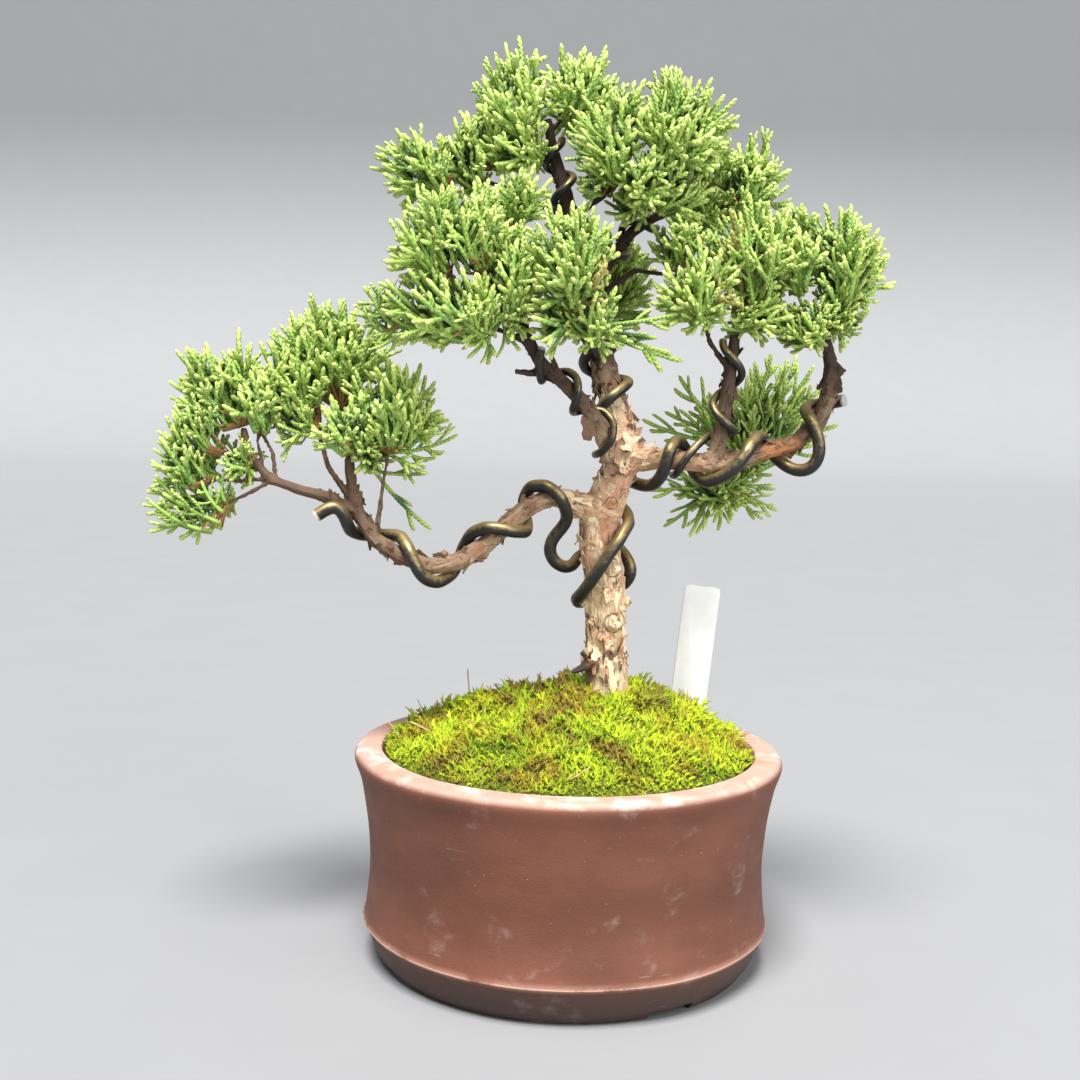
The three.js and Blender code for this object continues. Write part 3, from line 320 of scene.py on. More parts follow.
THICK_WIRE = 2.0
MIDDLE_WIRE = 1.7
THIN_WIRE = 1.25
WIRES = (
    Wire(
        "trunk", THICK_WIRE,
        lead=(
            (10, 12.5, 134), (15.5, 11.5, 129.5), (19, 7.5, 126), (19.9, 4.5, 121.8),
            (17.5, 9.5, 118), (11, 12.8, 114.5), (4.5, 9.5, 111.5), (1.4, 3.6, 112), (3, -3, 116),
            (7, -6.4, 122.5), (11.2, -6.6, 130), (15.2, -3.6, 136.4), (17.3, 1.5, 140),
            (15.5, 8, 143.5), (9.5, 11.4, 147),
        ),
    ),
    Wire(
        "left_branch", THICK_WIRE, limb=LEFT_BRANCH, slack=0.3, crossings=(17.7, 38.5, 68.8),
        before=0.12, after=0.7,
        lead=(
            (8, 11.5, 132), (4.4, 7, 127), (1.6, 1.8, 124.4), (-2.1, -1, 123), (-6.8, -2.6, 125.2),
            (-9.1, -3.4, 129.8), (-8.2, -4, 134), (-5.6, -4.4, 136.6), (-2.8, -4.6, 137.6),
            (-0.6, -4.8, 139.4), (-0.4, -5.2, 142),
        ),
        tail=(
            (-67, -16, 134.5), (-70.5, -16.5, 141), (-71.5, -17, 146), (-74.8, -18.4, 144.4),
            (-78.6, -19, 140.2),
        ),
    ),
    Wire(
        "right_branch", THICK_WIRE,
        lead=(
            (14, 8.5, 153), (19.4, 6, 151.8), (22.2, 2, 150), (25.4, -3, 150), (27.8, -6.4, 154),
            (28.6, -7.4, 159.5), (29.4, -6, 165), (31.6, -2, 168), (34, 2.6, 165), (35.8, 4, 160),
            (37.4, 0.5, 155), (41, -5, 153), (45.8, -8.6, 153.8), (50, -9.6, 157),
            (52.5, -9.4, 161.6), (54.2, -7, 166), (57, -3, 168.4), (60, 2, 167), (62.4, 4, 162.6),
            (64.6, 2, 158.4), (67.9, -1, 156.4), (71.9, -3.4, 155.6), (75.6, -5, 158.1),
            (77, -5.6, 163.3), (75.6, -5, 168.4), (72.8, -2.6, 173), (72.6, 3, 176.4),
            (77, 7.8, 178), (82.6, 7.2, 179.2), (84.4, 4.6, 179.4),
        ),
    ),
    Wire(
        "upper_trunk", MIDDLE_WIRE, limb=TRUNK, slack=0.5, crossings=(136, 154.5, 172),
        before=0.4,
    ),
    Wire("upper_left", THIN_WIRE, limb=UPPER_LEFT_BRANCH, crossings=(11.5, 31, 47), after=0.2),
    Wire(
        "right_upright", THIN_WIRE, limb=RIGHT_UPRIGHT, hand=-1, crossings=(14.5, 33),
        lead=(
            (30.6, 0.5, 154.6), (31.6, -4.6, 155.6), (34, -7.6, 160.5), (38, -6.8, 165.4),
            (41.4, -3, 168), (45, -1.4, 168.6),
        ),
    ),
    Wire("grey_branch", THIN_WIRE, limb=GREY_BRANCH, crossings=(14, 28), before=0.4, after=0.4),
    Wire("apex", THIN_WIRE, limb=TRUNK, slack=0.3, crossings=(192, 204, 216)),
)


def place(spot: Sequence[float]) -> Vector:
    """Turns a place on the tree, in millimetres from the pot's axis, into the model's frame."""
    return POT_AXIS + Vector(spot[:3]) * MM


def clamp(value: float) -> float:
    """Keeps a number between zero and one."""
    return min(1.0, max(0.0, value))


def stray(draw: random.Random, axes: int = 3) -> Vector:
    """Draws a vector whose first parts lie between -1 and 1, and whose others are zero."""
    return Vector([draw.uniform(-1, 1) if i < axes else 0.0 for i in range(3)])


def deselect() -> None:
    """Leaves nothing selected, so that the next operator acts on its own piece alone."""
    if bpy.context.mode != "OBJECT":
        bpy.ops.object.mode_set(mode="OBJECT")
    bpy.ops.object.select_all(action="DESELECT")


def activate(piece: bpy.types.Object) -> None:
    """Selects one piece alone and makes it the active one.

    Args:
        piece: the piece.
    """
    deselect()
    piece.select_set(True)
    bpy.context.view_layer.objects.active = piece


def edit(piece: bpy.types.Object) -> None:
    """Opens a piece in edit mode with everything in it selected.

    Args:
        piece: the piece.
    """
    activate(piece)
    bpy.ops.object.mode_set(mode="EDIT")
    bpy.ops.mesh.select_all(action="SELECT")


def modify(piece: bpy.types.Object, kind: str, **settings: object) -> None:
    """Adds a modifier to a piece and applies it.

    Args:
        piece: the piece that is changed.
        kind: the modifier's type.
        settings: its settings, by name.
    """
    activate(piece)
    modifier = piece.modifiers.new(kind.title(), kind)
    for name, value in settings.items():
        setattr(modifier, name, value)
    bpy.ops.object.modifier_apply(modifier=modifier.name)


def put(name: str, data: bpy.types.ID) -> bpy.types.Object:
    """Puts a mesh, a curve, a light or a camera into the scene.

    Args:
        name: the new object's name.
        data: what it shows.

    Returns:
        The object.
    """
    made = bpy.data.objects.new(name, data)
    bpy.context.scene.collection.objects.link(made)
    return made


def copy_of_node(node: str, name: str) -> bpy.types.Object:
    """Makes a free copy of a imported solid, with its loose triangles merged.

    Args:
        node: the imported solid's name.
        name: the new piece's name.

    Returns:
        The copy, which rides on nothing yet.
    """
    piece = put(name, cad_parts[node].data.copy())
    piece.data.materials.clear()
    edit(piece)
    bpy.ops.mesh.remove_doubles(threshold=1e-6)
    bpy.ops.object.mode_set(mode="OBJECT")
    return piece


def copy_of(template: bpy.types.Object, spot: Matrix) -> bpy.types.Object:
    """Copies a template with a mesh of its own and puts the copy in its place.

    Args:
        template: the piece that is copied.
        spot: the place, turn and size of the copy.

    Returns:
        The copy.
    """
    made = template.copy()
    made.data = template.data.copy()
    made.matrix_world = spot
    bpy.context.scene.collection.objects.link(made)
    return made


def join(parts: Sequence[bpy.types.Object], name: str) -> bpy.types.Object:
    """Joins parts into one piece whose object sits at the origin.

    Args:
        parts: the parts, which are used up.
        name: the joined piece's name.

    Returns:
        The joined piece.
    """
    deselect()
    for part in parts:
        part.select_set(True)
    bpy.context.view_layer.objects.active = parts[0]
    if len(parts) > 1:
        bpy.ops.object.join()
    piece = bpy.context.view_layer.objects.active
    bpy.ops.object.transform_apply(location=True, rotation=True, scale=True)
    piece.name = name
    return piece


def mark(piece: bpy.types.Object, name: str, values: Sequence[float] | float) -> None:
    """Stores a number on each of a piece's points, for its material to read.

    Args:
        piece: the piece.
        name: the attribute's name.
        values: one number for each point, or one for all of them.
    """
    mesh = piece.data
    layer = mesh.attributes.get(name) or mesh.attributes.new(name, "FLOAT", "POINT")
    if isinstance(values, (int, float)):
        values = [float(values)] * len(mesh.vertices)
    layer.data.foreach_set("value", values)


def bow(piece: bpy.types.Object, bend: float) -> None:
    """Bows a piece that stands along +Z towards +X, more and more with its height.

    Args:
        piece: the piece.
        bend: how far it bows at a height of one millimetre.
    """
    for vertex in piece.data.vertices:
        height = vertex.co.z / MM
        vertex.co.x += bend * height * height * MM


def smooth(piece: bpy.types.Object, angle: float | None = None) -> None:
    """Shades a piece smoothly, with its edges past the angle, in degrees, left sharp.

    Args:
        piece: the piece.
        angle: the angle, or None to leave no edge sharp.
    """
    activate(piece)
    if angle is None:
        bpy.ops.object.shade_smooth()
    else:
        bpy.ops.object.shade_smooth_by_angle(angle=math.radians(angle))


def settle(piece: bpy.types.Object, slot: Slot, look: bpy.types.Material, *nodes: str) -> None:
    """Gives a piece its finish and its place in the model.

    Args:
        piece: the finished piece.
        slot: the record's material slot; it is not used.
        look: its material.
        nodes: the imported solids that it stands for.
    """
    piece.data.materials.clear()
    piece.data.materials.append(look)
    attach(piece, "root")
    if nodes:
        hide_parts(*nodes)
    faces = sum(len(face.vertices) - 2 for face in piece.data.polygons)
    LOG.info("%s: %d triangles", piece.name, faces)


def tree_of(piece: bpy.types.Object) -> BVHTree:
    """Makes a search tree of a piece's surface."""
    points = [vertex.co for vertex in piece.data.vertices]
    return BVHTree.FromPolygons(points, [tuple(face.vertices) for face in piece.data.polygons])


def index_of(points: Sequence[Vector]) -> KDTree:
    """Makes a search index of points.

    Args:
        points: the points.

    Returns:
        The index, which gives each point's number.
    """
    index = KDTree(len(points))
    for i, point in enumerate(points):
        index.insert(point, i)
    index.balance()
    return index


def even_directions(count: int) -> Iterator[Vector]:
    """Yields directions that are spread evenly over a sphere.

    Args:
        count: how many directions.

    Yields:
        Each direction.
    """
    for i in range(count):
        height = 1 - (2 * i + 1) / count
        radius = math.sqrt(1 - height * height)
        angle = GOLDEN_ANGLE * i
        yield Vector((radius * math.cos(angle), radius * math.sin(angle), height))


def facing(direction: Vector, lean: Vector) -> Matrix:
    """Finds the turn that puts +Z along a direction and +X towards the side that it leans to.

    Args:
        direction: where +Z is turned to.
        lean: the side that +X is turned to.

    Returns:
        The turn.
    """
    along = direction.normalized()
    side = lean - along * lean.dot(along)
    if side.length < 1e-4:
        side = along.orthogonal()
    side.normalize()
    return Matrix((side, along.cross(side), along)).transposed().to_4x4()


class Value:
    """A shader number that can be used in sums."""

    def __init__(self, look: "Look", socket: bpy.types.NodeSocket) -> None:
        """Wraps a socket of a look's node tree."""
        self.look = look
        self.socket = socket

    def __add__(self, other: "Value | float") -> "Value":
        """Adds."""
        return self.look.maths("ADD", self, other)

    def __radd__(self, other: float) -> "Value":
        """Adds to a number."""
        return self.look.maths("ADD", other, self)

    def __sub__(self, other: "Value | float") -> "Value":
        """Takes away."""
        return self.look.maths("SUBTRACT", self, other)

    def __rsub__(self, other: float) -> "Value":
        """Takes away from a number."""
        return self.look.maths("SUBTRACT", other, self)

    def __mul__(self, other: "Value | float") -> "Value":
        """Multiplies."""
        return self.look.maths("MULTIPLY", self, other)

    def __rmul__(self, other: float) -> "Value":
        """Multiplies a number."""
        return self.look.maths("MULTIPLY", other, self)

    def sine(self) -> "Value":
        """Takes the sine of an angle in radians."""
        return self.look.maths("SINE", self)

    def step(self, low: float, high: float) -> "Value":
        """Rises smoothly from 0 at the low value to 1 at the high one.

        Args:
            low: the low value.
            high: the high value.

        Returns:
            The risen number.
        """
        made = self.look.node(
            "MapRange", {"interpolation_type": "SMOOTHSTEP"},
            {"Value": self, "From Min": low, "From Max": high},
        )
        return Value(self.look, made.outputs["Result"])


class Look:
    """A material whose nodes are added by short calls.

    The Mix node's colour sockets are found by number, as several of its sockets share a name.
    """

    mix_share = 0
    mix_low = 6
    mix_high = 7
    mix_result = 2

    def __init__(self, name: str) -> None:
        """Starts a material with its shader alone.

        Args:
            name: the material's name.
        """
        self.material = bpy.data.materials.new(name)
        self.material.use_nodes = True
        self.tree = self.material.node_tree
        self.shader = self.tree.nodes["Principled BSDF"]

    def feed(self, socket: bpy.types.NodeSocket, value: object) -> None:
        """Links a value to a socket, or sets it.

        Args:
            socket: the socket.
            value: a number, a colour, a Value or another socket.
        """
        if isinstance(value, Value):
            self.tree.links.new(value.socket, socket)
        elif isinstance(value, bpy.types.NodeSocket):
            self.tree.links.new(value, socket)
        elif isinstance(value, tuple) and socket.type == "RGBA":
            socket.default_value = (*value, 1.0)
        else:
            socket.default_value = value

    def node(
        self, kind: str, settings: dict[str, object] | None = None,
        sockets: dict[str | int, object] | None = None,
    ) -> bpy.types.Node:
        """Adds a node.

        Args:
            kind: the node's type, without its ShaderNode prefix.
            settings: its settings, which are set first.
            sockets: the values or links of its sockets.

        Returns:
            The node.
        """
        made = self.tree.nodes.new("ShaderNode" + kind)
        for name, value in (settings or {}).items():
            setattr(made, name, value)
        for name, value in (sockets or {}).items():
            self.feed(made.inputs[name], value)
        return made

    def maths(self, operation: str, *terms: "Value | float") -> Value:
        """Adds a Math node for an operation on numbers."""
        made = self.node("Math", {"operation": operation}, dict(enumerate(terms)))
        return Value(self, made.outputs[0])

    def mark(self, name: str) -> Value:
        """Reads a number that is stored on the piece's points."""
        made = self.node("Attribute", {"attribute_name": name})
        return Value(self, made.outputs["Fac"])

    def coordinates(self, scale: Place = (1, 1, 1), attribute: str | None = None) -> bpy.types.NodeSocket:
        """Reads places on the piece in millimetres, stretched by a scale.

        Args:
            scale: how much finer the pattern is along each axis.
            attribute: the stored places that are read, or None for the true ones.

        Returns:
            The places.
        """
        if attribute:
            source = self.node("Attribute", {"attribute_name": attribute}).outputs["Vector"]
        else:
            source = self.node("TexCoord").outputs["Object"]
        size = tuple(part / MM for part in scale) if attribute is None else scale
        return self.node("Mapping", None, {"Vector": source, "Scale": size}).outputs["Vector"]

    def noise(
        self, where: bpy.types.NodeSocket, size: float, detail: float = 3, rough: float = 0.55
    ) -> Value:
        """Adds soft noise whose lumps are about the given size, in millimetres.

        Args:
            where: the places that it is read at.
            size: the size.
            detail: the number of finer layers.
            rough: how strong the finer layers are.

        Returns:
            The noise.
        """
        made = self.node(
            "TexNoise", None,
            {"Vector": where, "Scale": 1 / size, "Detail": detail, "Roughness": rough},
        )
        return Value(self, made.outputs["Fac"])

    def cells(self, where: bpy.types.NodeSocket, size: float) -> Value:
        """Adds a pattern of cells of about the given size, in millimetres."""
        made = self.node("TexVoronoi", None, {"Vector": where, "Scale": 1 / size})
        return Value(self, made.outputs["Distance"])

    def mix(self, share: "Value | float", low: object, high: object) -> bpy.types.NodeSocket:
        """Mixes two colours.

        Args:
            share: how much of the second colour shows.
            low: the first colour.
            high: the second colour.

        Returns:
            The mixed colour.
        """
        made = self.node(
            "Mix", {"data_type": "RGBA"},
            {self.mix_share: share, self.mix_low: low, self.mix_high: high},
        )
        return made.outputs[self.mix_result]

    def upward(self) -> Value:
        """Reads how far the surface faces up, from -1 to 1."""
        normal = self.node("NewGeometry").outputs["Normal"]
        return Value(self, self.node("SeparateXYZ", None, {"Vector": normal}).outputs["Z"])

    def bump(self, height: Value, depth: float, strength: float = 1.0) -> None:
        """Raises the surface by a height between 0 and 1, times a depth in millimetres.

        Args:
            height: the height.
            depth: the depth.
            strength: how much of the relief is seen.
        """
        made = self.node(
            "Bump", None, {"Height": height, "Distance": depth * MM, "Strength": strength}
        )
        self.feed(self.shader.inputs["Normal"], made.outputs["Normal"])

    def set(self, **values: object) -> bpy.types.Material:
        """Feeds the shader's own sockets and returns the material.

        Args:
            values: each socket's name and what it is fed.

        Returns:
            The material.
        """
        for name, value in values.items():
            self.feed(self.shader.inputs[name.replace("_", " ")], value)
        return self.material


@dataclass(frozen=True)
class FoliageFinish:
    """Scale leaves with pale yellow-green tips, painted deep green inside a pad as painted shade and fresh
    green outside; the scales are painted pale on top, partly their paler edges and partly a painted
    highlight, and dark in the grooves between them as painted shade.
    """

    shade_green: Colour = (0.045, 0.10, 0.02)
    green: Colour = (0.30, 0.46, 0.09)
    fresh: Colour = (0.56, 0.69, 0.17)
    pale: Colour = (0.74, 0.80, 0.32)
    blue: Colour = (0.19, 0.37, 0.09)
    brown: Colour = (0.36, 0.19, 0.07)
    scale_pitch: float = 1.5
    scale_depth: float = 0.45
    patch_size: float = 26.0

    def dress(self) -> bpy.types.Material:
        """Makes the material.

        Returns:
            The material.
        """
        look = Look("foliage")
        tip, outer = look.mark("tip"), look.mark("outer")
        tone, along, side = look.mark("tone"), look.mark("along"), look.mark("side")
        scales = side * (along * (2 * math.pi / self.scale_pitch)).sine()
        patches = look.noise(look.coordinates(), self.patch_size, 2)
        colour = look.mix((tone + patches - 0.5).step(0.5, 1.0) * 0.6, self.green, self.blue)
        # Painted shade: shoots deeper inside a pad are painted deep green, and their fresh and pale tips
        # are painted weaker there.
        colour = look.mix((1 - outer).step(0.35, 1.0), colour, self.shade_green)
        colour = look.mix(tip.step(0.1, 0.9) * (0.15 + 0.65 * outer), colour, self.fresh)
        colour = look.mix(tip.step(0.8, 1.0) * (0.1 + 0.5 * outer.step(0.2, 0.8)), colour, self.pale)
        # Painted highlight and shade on the scales: pale on their tops, partly their paler edges, and deep
        # green in the grooves between them.
        colour = look.mix(scales.step(0.1, 0.9) * (0.2 + 0.35 * outer), colour, self.pale)
        colour = look.mix((0 - scales).step(0.1, 0.9) * 0.4, colour, self.shade_green)
        colour = look.mix(look.mark("wood"), colour, self.brown)
        look.bump(0.5 + 0.5 * scales, self.scale_depth)
        return look.set(Base_Color=colour, Roughness=0.5, Specular_IOR_Level=0.3)


@dataclass(frozen=True)
class BarkFinish:
    """Flaking bark: pinkish tan plates with pale edges over dark furrows, whose darkness is partly their
    own red-brown and partly painted shade; the bark inside the crown and the crease round each knob are
    painted dark as painted shade.
    """

    furrow: Colour = (0.05, 0.022, 0.014)
    tan: Colour = (0.68, 0.46, 0.27)
    pink: Colour = (0.56, 0.31, 0.20)
    cream: Colour = (0.88, 0.72, 0.48)
    orange: Colour = (0.46, 0.19, 0.07)
    grey: Colour = (0.075, 0.043, 0.028)
    crown_shade_and_char: Colour = (0.05, 0.033, 0.025)
    scar_and_crease_shade: Colour = (0.16, 0.075, 0.042)
    fibre_size: float = 0.9
    fibre_depth: float = 0.45
    patch_size: float = 7.0

    def dress(self) -> bpy.types.Material:
        """Makes the material.

        Returns:
            The material.
        """
        look = Look("bark")
        where = look.coordinates(attribute="grain")
        fibres = look.noise(where, self.fibre_size, 6, 0.68)
        patches = look.noise(look.coordinates((1, 1, 0.5)), self.patch_size, 4)
        furrows, plates, slim = look.mark("furrow"), look.mark("plate"), look.mark("slim")
        colour = look.mix((0.5 * plates + patches).step(0.55, 0.85), self.pink, self.tan)
        colour = look.mix((1 - patches).step(0.56, 0.68) * 0.7, colour, self.orange)
        colour = look.mix((0.6 * plates + fibres).step(0.84, 1.0) * (1 - slim), colour, self.cream)
        colour = look.mix(slim.step(0.2, 0.75) * 0.9, colour, self.grey)
        colour = look.mix(look.mark("peeled") * 0.85, colour, self.orange)
        # Painted shade on the bark inside the crown, with the burnt stub's own dark char in the same mark.
        colour = look.mix(look.mark("crown_shade_and_char") * 0.92, colour, self.crown_shade_and_char)
        # Dark between the fibres and in the furrows: partly the furrows' own red-brown, partly painted
        # shade in these recesses.
        colour = look.mix((1 - fibres).step(0.52, 0.7) * 0.7, colour, self.furrow)
        colour = look.mix(furrows.step(0.15, 0.8) * 0.85, colour, self.furrow)
        # Painted shade in the crease round each knob, and a dark pit at its middle that is partly the
        # scar's own colour and partly painted shade.
        colour = look.mix(look.mark("scar_and_crease_shade").step(0.2, 0.8), colour, self.scar_and_crease_shade)
        look.bump(fibres, self.fibre_depth, 0.9)
        return look.set(Base_Color=colour, Roughness=0.8, Specular_IOR_Level=0.3)


@dataclass(frozen=True)
class WireFinish:
    """Dark anodised aluminium with dull scuffs, painted bronze on its upper side as a painted highlight.
    """

    dark: Colour = (0.04, 0.04, 0.038)
    top_highlight_bronze: Colour = (0.44, 0.32, 0.14)
    bare: Colour = (0.75, 0.75, 0.76)
    scuff_size: float = 2.2
    scuff_depth: float = 0.05

    def dress(self) -> bpy.types.Material:
        """Makes the material.

        Returns:
            The material.
        """
        look = Look("wire")
        scuffs = look.noise(look.coordinates(), self.scuff_size, 5, 0.7)
        # Painted highlight: the bronze shows on the upper side, broken by the scuffs.
        colour = look.mix((look.upward() * 0.7 + scuffs).step(0.4, 1.15), self.dark, self.top_highlight_bronze)
        colour = look.mix(look.mark("cut").step(0.5, 0.9), colour, self.bare)
        look.bump(scuffs, self.scuff_depth, 0.4)
        return look.set(
            Base_Color=colour, Metallic=0.75, Roughness=0.3 + 0.25 * scuffs, Specular_IOR_Level=0.5,
        )


@dataclass(frozen=True)
class ClayFinish:
    """Unglazed red-brown clay with a pale worn lip, mineral marks and small specks, painted dark below the
    ridge as shade and pale along the ridge's edge, partly rubbed wear and partly a painted highlight.
    """

    body: Colour = (0.125, 0.043, 0.023)
    warm: Colour = (0.18, 0.064, 0.036)
    worn: Colour = (0.60, 0.38, 0.30)
    pale: Colour = (0.72, 0.64, 0.58)
    stain: Colour = (0.40, 0.17, 0.08)
    dark: Colour = (0.055, 0.033, 0.026)
    cloud_size: float = 20.0
    band_size: float = 9.0
    smear_size: float = 11.0
    grain_size: float = 0.45
    mark_size: float = 2.6
    grain_depth: float = 0.2

    def dress(self) -> bpy.types.Material:
        """Makes the material.

        Returns:
            The material.
        """
        look = Look("clay")
        where = look.coordinates()
        clouds = look.noise(where, self.cloud_size, 4)
        bands = look.noise(look.coordinates((0.25, 0.25, 1)), self.band_size, 3)
        smears = look.noise(look.coordinates((1, 1, 1.3)), self.smear_size, 6, 0.62)
        grain = look.noise(where, self.grain_size, 4, 0.7)
        specks = look.cells(where, self.mark_size)
        rim, edge, foot, waist = (look.mark(name) for name in ("rim", "edge", "foot", "waist"))
        colour = look.mix((clouds * 0.6 + bands * 0.6 - waist * 0.22).step(0.3, 0.8), self.body, self.warm)
        # Painted shade: the foot below the ridge is painted dark.
        colour = look.mix(foot * (0.8 + 0.3 * clouds), colour, self.dark)
        colour = look.mix(smears.step(0.56, 0.85) * (0.26 - 0.12 * foot), colour, self.pale)
        colour = look.mix(rim * (0.75 + 0.4 * (clouds - 0.5)), colour, self.worn)
        colour = look.mix(rim * clouds.step(0.5, 0.68) * 0.42, colour, self.stain)
        colour = look.mix(rim * smears.step(0.47, 0.66) * 0.6, colour, self.pale)
        # Pale along the ridge's edge: partly rubbed wear and partly a painted highlight.
        colour = look.mix(edge * smears.step(0.3, 0.5) * 0.6, colour, self.worn)
        scratches = look.noise(look.coordinates((0.12, 0.12, 2.4)), self.mark_size, 2)
        colour = look.mix(scratches.step(0.7, 0.76) * smears.step(0.5, 0.6) * 0.3, colour, self.pale)
        dots = (1 - specks).step(0.9, 0.95) * grain.step(0.55, 0.65)
        colour = look.mix(dots * 0.75, colour, self.pale)
        colour = look.mix((1 - grain).step(0.6, 0.75) * 0.35, colour, self.dark)
        look.bump(grain + 0.8 * smears, self.grain_depth, 0.7)
        return look.set(Base_Color=colour, Roughness=0.5 + 0.3 * smears, Specular_IOR_Level=0.4)


@dataclass(frozen=True)
class MossFinish:
    """Live moss: bright yellow-green clumps between olive and brown ones, painted near black towards the
    roots as painted shade.
    """

    bright: Colour = (0.43, 0.53, 0.02)
    green: Colour = (0.21, 0.32, 0.012)
    olive: Colour = (0.38, 0.29, 0.02)
    brown: Colour = (0.20, 0.13, 0.03)
    root_shade: Colour = (0.025, 0.028, 0.005)
    straw: Colour = (0.52, 0.38, 0.20)
    clump_size: float = 14.0
    fine_size: float = 3.0

    def dress(self) -> bpy.types.Material:
        """Makes the material.

        Returns:
            The material.
        """
        look = Look("moss")
        where = look.coordinates()
        clumps, fine = look.noise(where, self.clump_size), look.noise(where, self.fine_size)
        tip, tone = look.mark("tip"), look.mark("tone")
        colour = look.mix(tone.step(0.25, 0.85), self.green, self.bright)
        colour = look.mix((clumps + 0.35 * fine - 0.25 * tone).step(0.5, 0.68) * 0.85, colour, self.olive)
        colour = look.mix((tone + 0.4 * fine).step(0.32, 0.16), colour, self.brown)
        # Painted shade: leaves darken to near black towards their roots, deep in the carpet.
        colour = look.mix((1 - tip).step(0.15, 0.85), colour, self.root_shade)
        colour = look.mix(look.mark("straw"), colour, self.straw)
        return look.set(Base_Color=colour, Roughness=0.75, Specular_IOR_Level=0.2)


@dataclass(frozen=True)
class PlainFinish:
    """A finish for what is plain or hardly seen: one colour, broken by grain."""

    name: str
    light: Colour
    dark: Colour
    grain: float
    depth: float
    roughness: float

    def dress(self) -> bpy.types.Material:
        """Makes the material.

        Returns:
            The material.
        """
        look = Look(self.name)
        grain = look.noise(look.coordinates(), self.grain, 4, 0.6)
        colour = look.mix(grain.step(0.35, 0.65), self.dark, self.light)
        look.bump(grain, self.depth, 0.5)
        return look.set(Base_Color=colour, Roughness=self.roughness)


SOIL_FINISH = PlainFinish("soil", (0.1, 0.065, 0.04), (0.03, 0.02, 0.013), 1.6, 0.8, 0.95)
SCREEN_FINISH = PlainFinish("mesh", (0.03, 0.03, 0.028), (0.02, 0.02, 0.019), 4.0, 0.05, 0.6)
LABEL_FINISH = PlainFinish("label", (0.88, 0.88, 0.87), (0.84, 0.84, 0.83), 6.0, 0.04, 0.38)
FLOOR_FINISH = PlainFinish("floor", (0.27, 0.27, 0.274), (0.265, 0.265, 0.269), 60.0, 0.0, 0.7)


@dataclass(frozen=True)
class Shoot:
    """One cord of overlapping scale leaves with a rounded tip, or one bare woody stalk."""

    length: float
    radius: float
    bend: float = 0.0
    sides: int = 5
    wood_sides: int = 3
    knob: float = 0.07
    segment: float = 2.2
    cap_share: float = 0.35
    fresh_length: float = 6.0
    is_wood: bool = False

    def build(self) -> bpy.types.Object:
        """Models the shoot along +Z from the origin.

        Returns:
            The shoot.
        """
        deselect()
        sides = self.wood_sides if self.is_wood else self.sides
        bpy.ops.mesh.primitive_circle_add(vertices=sides, radius=self.radius * MM, fill_type="NGON")
        piece = bpy.context.active_object
        bpy.ops.object.mode_set(mode="EDIT")
        count = max(2, round(self.length / self.segment))
        rise = self.length / (count + self.cap_share)
        width = 1.0
        for step in range(1, count + 1):
            bpy.ops.mesh.extrude_region_move(TRANSFORM_OT_translate={"value": (0, 0, rise * MM)})
            wanted = 1 + self.knob * (1 if step % 2 else -1)
            bpy.ops.transform.resize(value=(wanted / width, wanted / width, 1))
            width = wanted
        cap = (0, 0, self.cap_share * rise * MM)
        bpy.ops.mesh.extrude_region_move(TRANSFORM_OT_translate={"value": cap})
        bpy.ops.mesh.merge(type="CENTER")
        bpy.ops.object.mode_set(mode="OBJECT")
        points = [vertex.co / MM for vertex in piece.data.vertices]
        mark(piece, "along", [point.z for point in points])
        mark(piece, "tip", [
            0.0 if self.is_wood else max(0.0, 1 - (self.length - point.z) / self.fresh_length)
            for point in points
        ])
        mark(piece, "side", [math.cos(2 * math.atan2(point.y, point.x)) for point in points])
        mark(piece, "wood", 1.0 if self.is_wood else 0.0)
        bow(piece, self.bend)
        return piece


